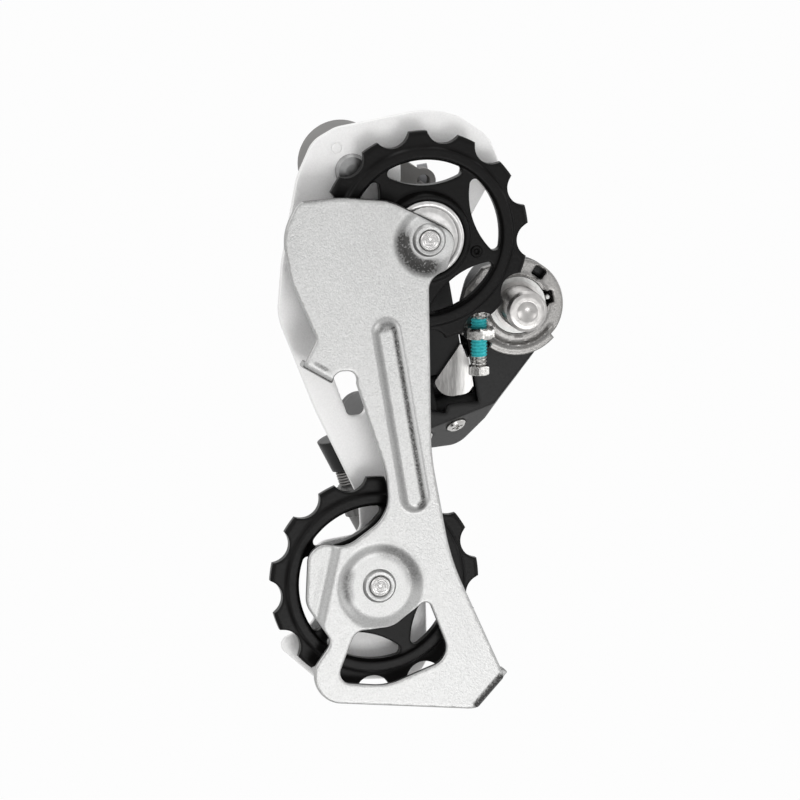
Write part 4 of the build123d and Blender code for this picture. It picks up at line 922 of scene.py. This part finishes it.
def add_stopper_plate():
    hook = turned_box(SPRING_RADIUS, SPRING_HEADING, 2.4, 3.0)
    notch = turned_box(9.3, 56, 2.4, 3.0)
    rings = [circle(0, 0, radius, 120) for radius in (6.75, 6.9, 7.05, 7.2)]
    rings = [ring[~inside(ring, inward(hook, -0.5))] for ring in rings]
    holes = [hook, notch, circle(0, 0, 6.2)]
    mesh = plate_mesh("stopper_plate_pressed", stopper_blank(), holes, stopper_front, 2.0, edge=0.35,
                      spacing=0.45, rings=rings, back=2.0)
    add_piece("stopper_plate_pressed", mesh, "hanger_side", "stopper_steel", "stopper_plate")
    nut = [(2.15, -7.05), (3.3, -7.05), (3.9, -6.65), (3.9, -4.75), (3.3, -4.35), (2.15, -4.35),
           (2.15, -7.05)]

    def flats(height, angle, radius):
        return (radius > 2.5) * np.minimum(hexagon(angle, 3.4) - radius, 0)

    mesh = lathe("stopper_ear", nut, B_SCREW_X, 0, along=(0, 0, 1), y=B_SCREW_Y, wave=flats, fine=0.5)
    add_piece("stopper_ear", mesh, "hanger_side", "b_screw_steel", "stopper_plate")
    neck = rounded([(-13.0, -6.9, 0.3), (-7.2, -6.9, 0.3), (-7.2, -4.5, 0.3), (-13.0, -4.5, 0.3)])
    mesh = plate_mesh("stopper_neck", neck, [], lambda x, z: -1.2 + 0 * x, 3.2, edge=0.3)
    add_piece("stopper_neck", mesh, "hanger_side", "stopper_steel", "stopper_plate")


def coil_mesh(name):
    """A round wire wound about the hanger bolt's axis.

    The circle of its section, drawn on the radial line and the axis, goes round by angle and rises by
    one pitch a turn.
    """
    share = np.arange(SPRING_TURNS * TURN_STEPS + 1)[:, None] / TURN_STEPS
    way = math.radians(SPRING_HEADING) - 2 * math.pi * share
    turn = np.arange(WIRE_SIDES) * 2 * math.pi / WIRE_SIDES
    out = SPRING_RADIUS + SPRING_WIRE / 2 * np.cos(turn) + 0 * way
    rise = SPRING_LOW + SPRING_PITCH * share + SPRING_WIRE / 2 * np.sin(turn)
    spots = np.stack([out * np.cos(way), rise, out * np.sin(way)], 2)
    index = np.arange(len(way) * WIRE_SIDES).reshape(-1, WIRE_SIDES)
    beside = np.roll(index, -1, 1)
    sides = np.stack([index[:-1], beside[:-1], beside[1:], index[1:]], 2).reshape(-1, 4).tolist()
    caps = [np.stack([index[row], beside[row], np.full(WIRE_SIDES, index.size + place)], 1)
            for place, row in enumerate((0, -1))]
    points = np.concatenate([spots.reshape(-1, 3), spots[[0, -1]].mean(1)])
    return mesh_from(name, points, sides + np.concatenate(caps).tolist())


def add_hanger_spring():
    """The spring in the knuckle, split at the joint: its coils and leg turn with the knuckle, and its
    tip stays in the stopper plate."""
    way = math.radians(SPRING_HEADING)
    x, z = SPRING_RADIUS * math.cos(way), SPRING_RADIUS * math.sin(way)
    add_piece("b_spring_coil", coil_mesh("b_spring_coil"), "b_knuckle", "spring_steel", "b_spring")
    leg = [(0, 12.0), (SPRING_END, 12.0), (SPRING_END, 15.8), (0.45, 16.0), (0, 16.0)]
    add_piece("b_spring_leg", lathe("b_spring_leg", leg, x, z, count=32), "b_knuckle", "spring_steel")
    tip = [(0, 0.3), (0.4, 0.3), (SPRING_END, 0.5), (SPRING_END, 2.4), (0, 2.4)]
    add_piece("b_spring_tip", lathe("b_spring_tip", tip, x, z, count=32), "hanger_side", "spring_steel")


# ---- the scene -----------------------------------------------------------------------------------
add_inner_plate()
add_outer_plate()
add_dust_caps()
add_pulley_bolts()
add_mounting_bolt()
add_b_screw()
add_stopper_plate()
add_hanger_spring()
add_gate_mark()

add_camera()
set_world(level=0.40)
add_floor(level=0.82, shown=0.97)
add_lamp("key", (-1.0, 0.55, 1.1), size=1.0, power=5.5)
add_lamp("side", (1.25, 0.1, 0.15), size=0.7, power=2.5)
add_lamp("top", (0.0, 1.4, 0.1), size=0.8, power=4)
add_lamp("front", (0.27, -0.38, 0.56), size=0.26, power=1.0)
bpy.context.scene.view_settings.view_transform = "Standard"
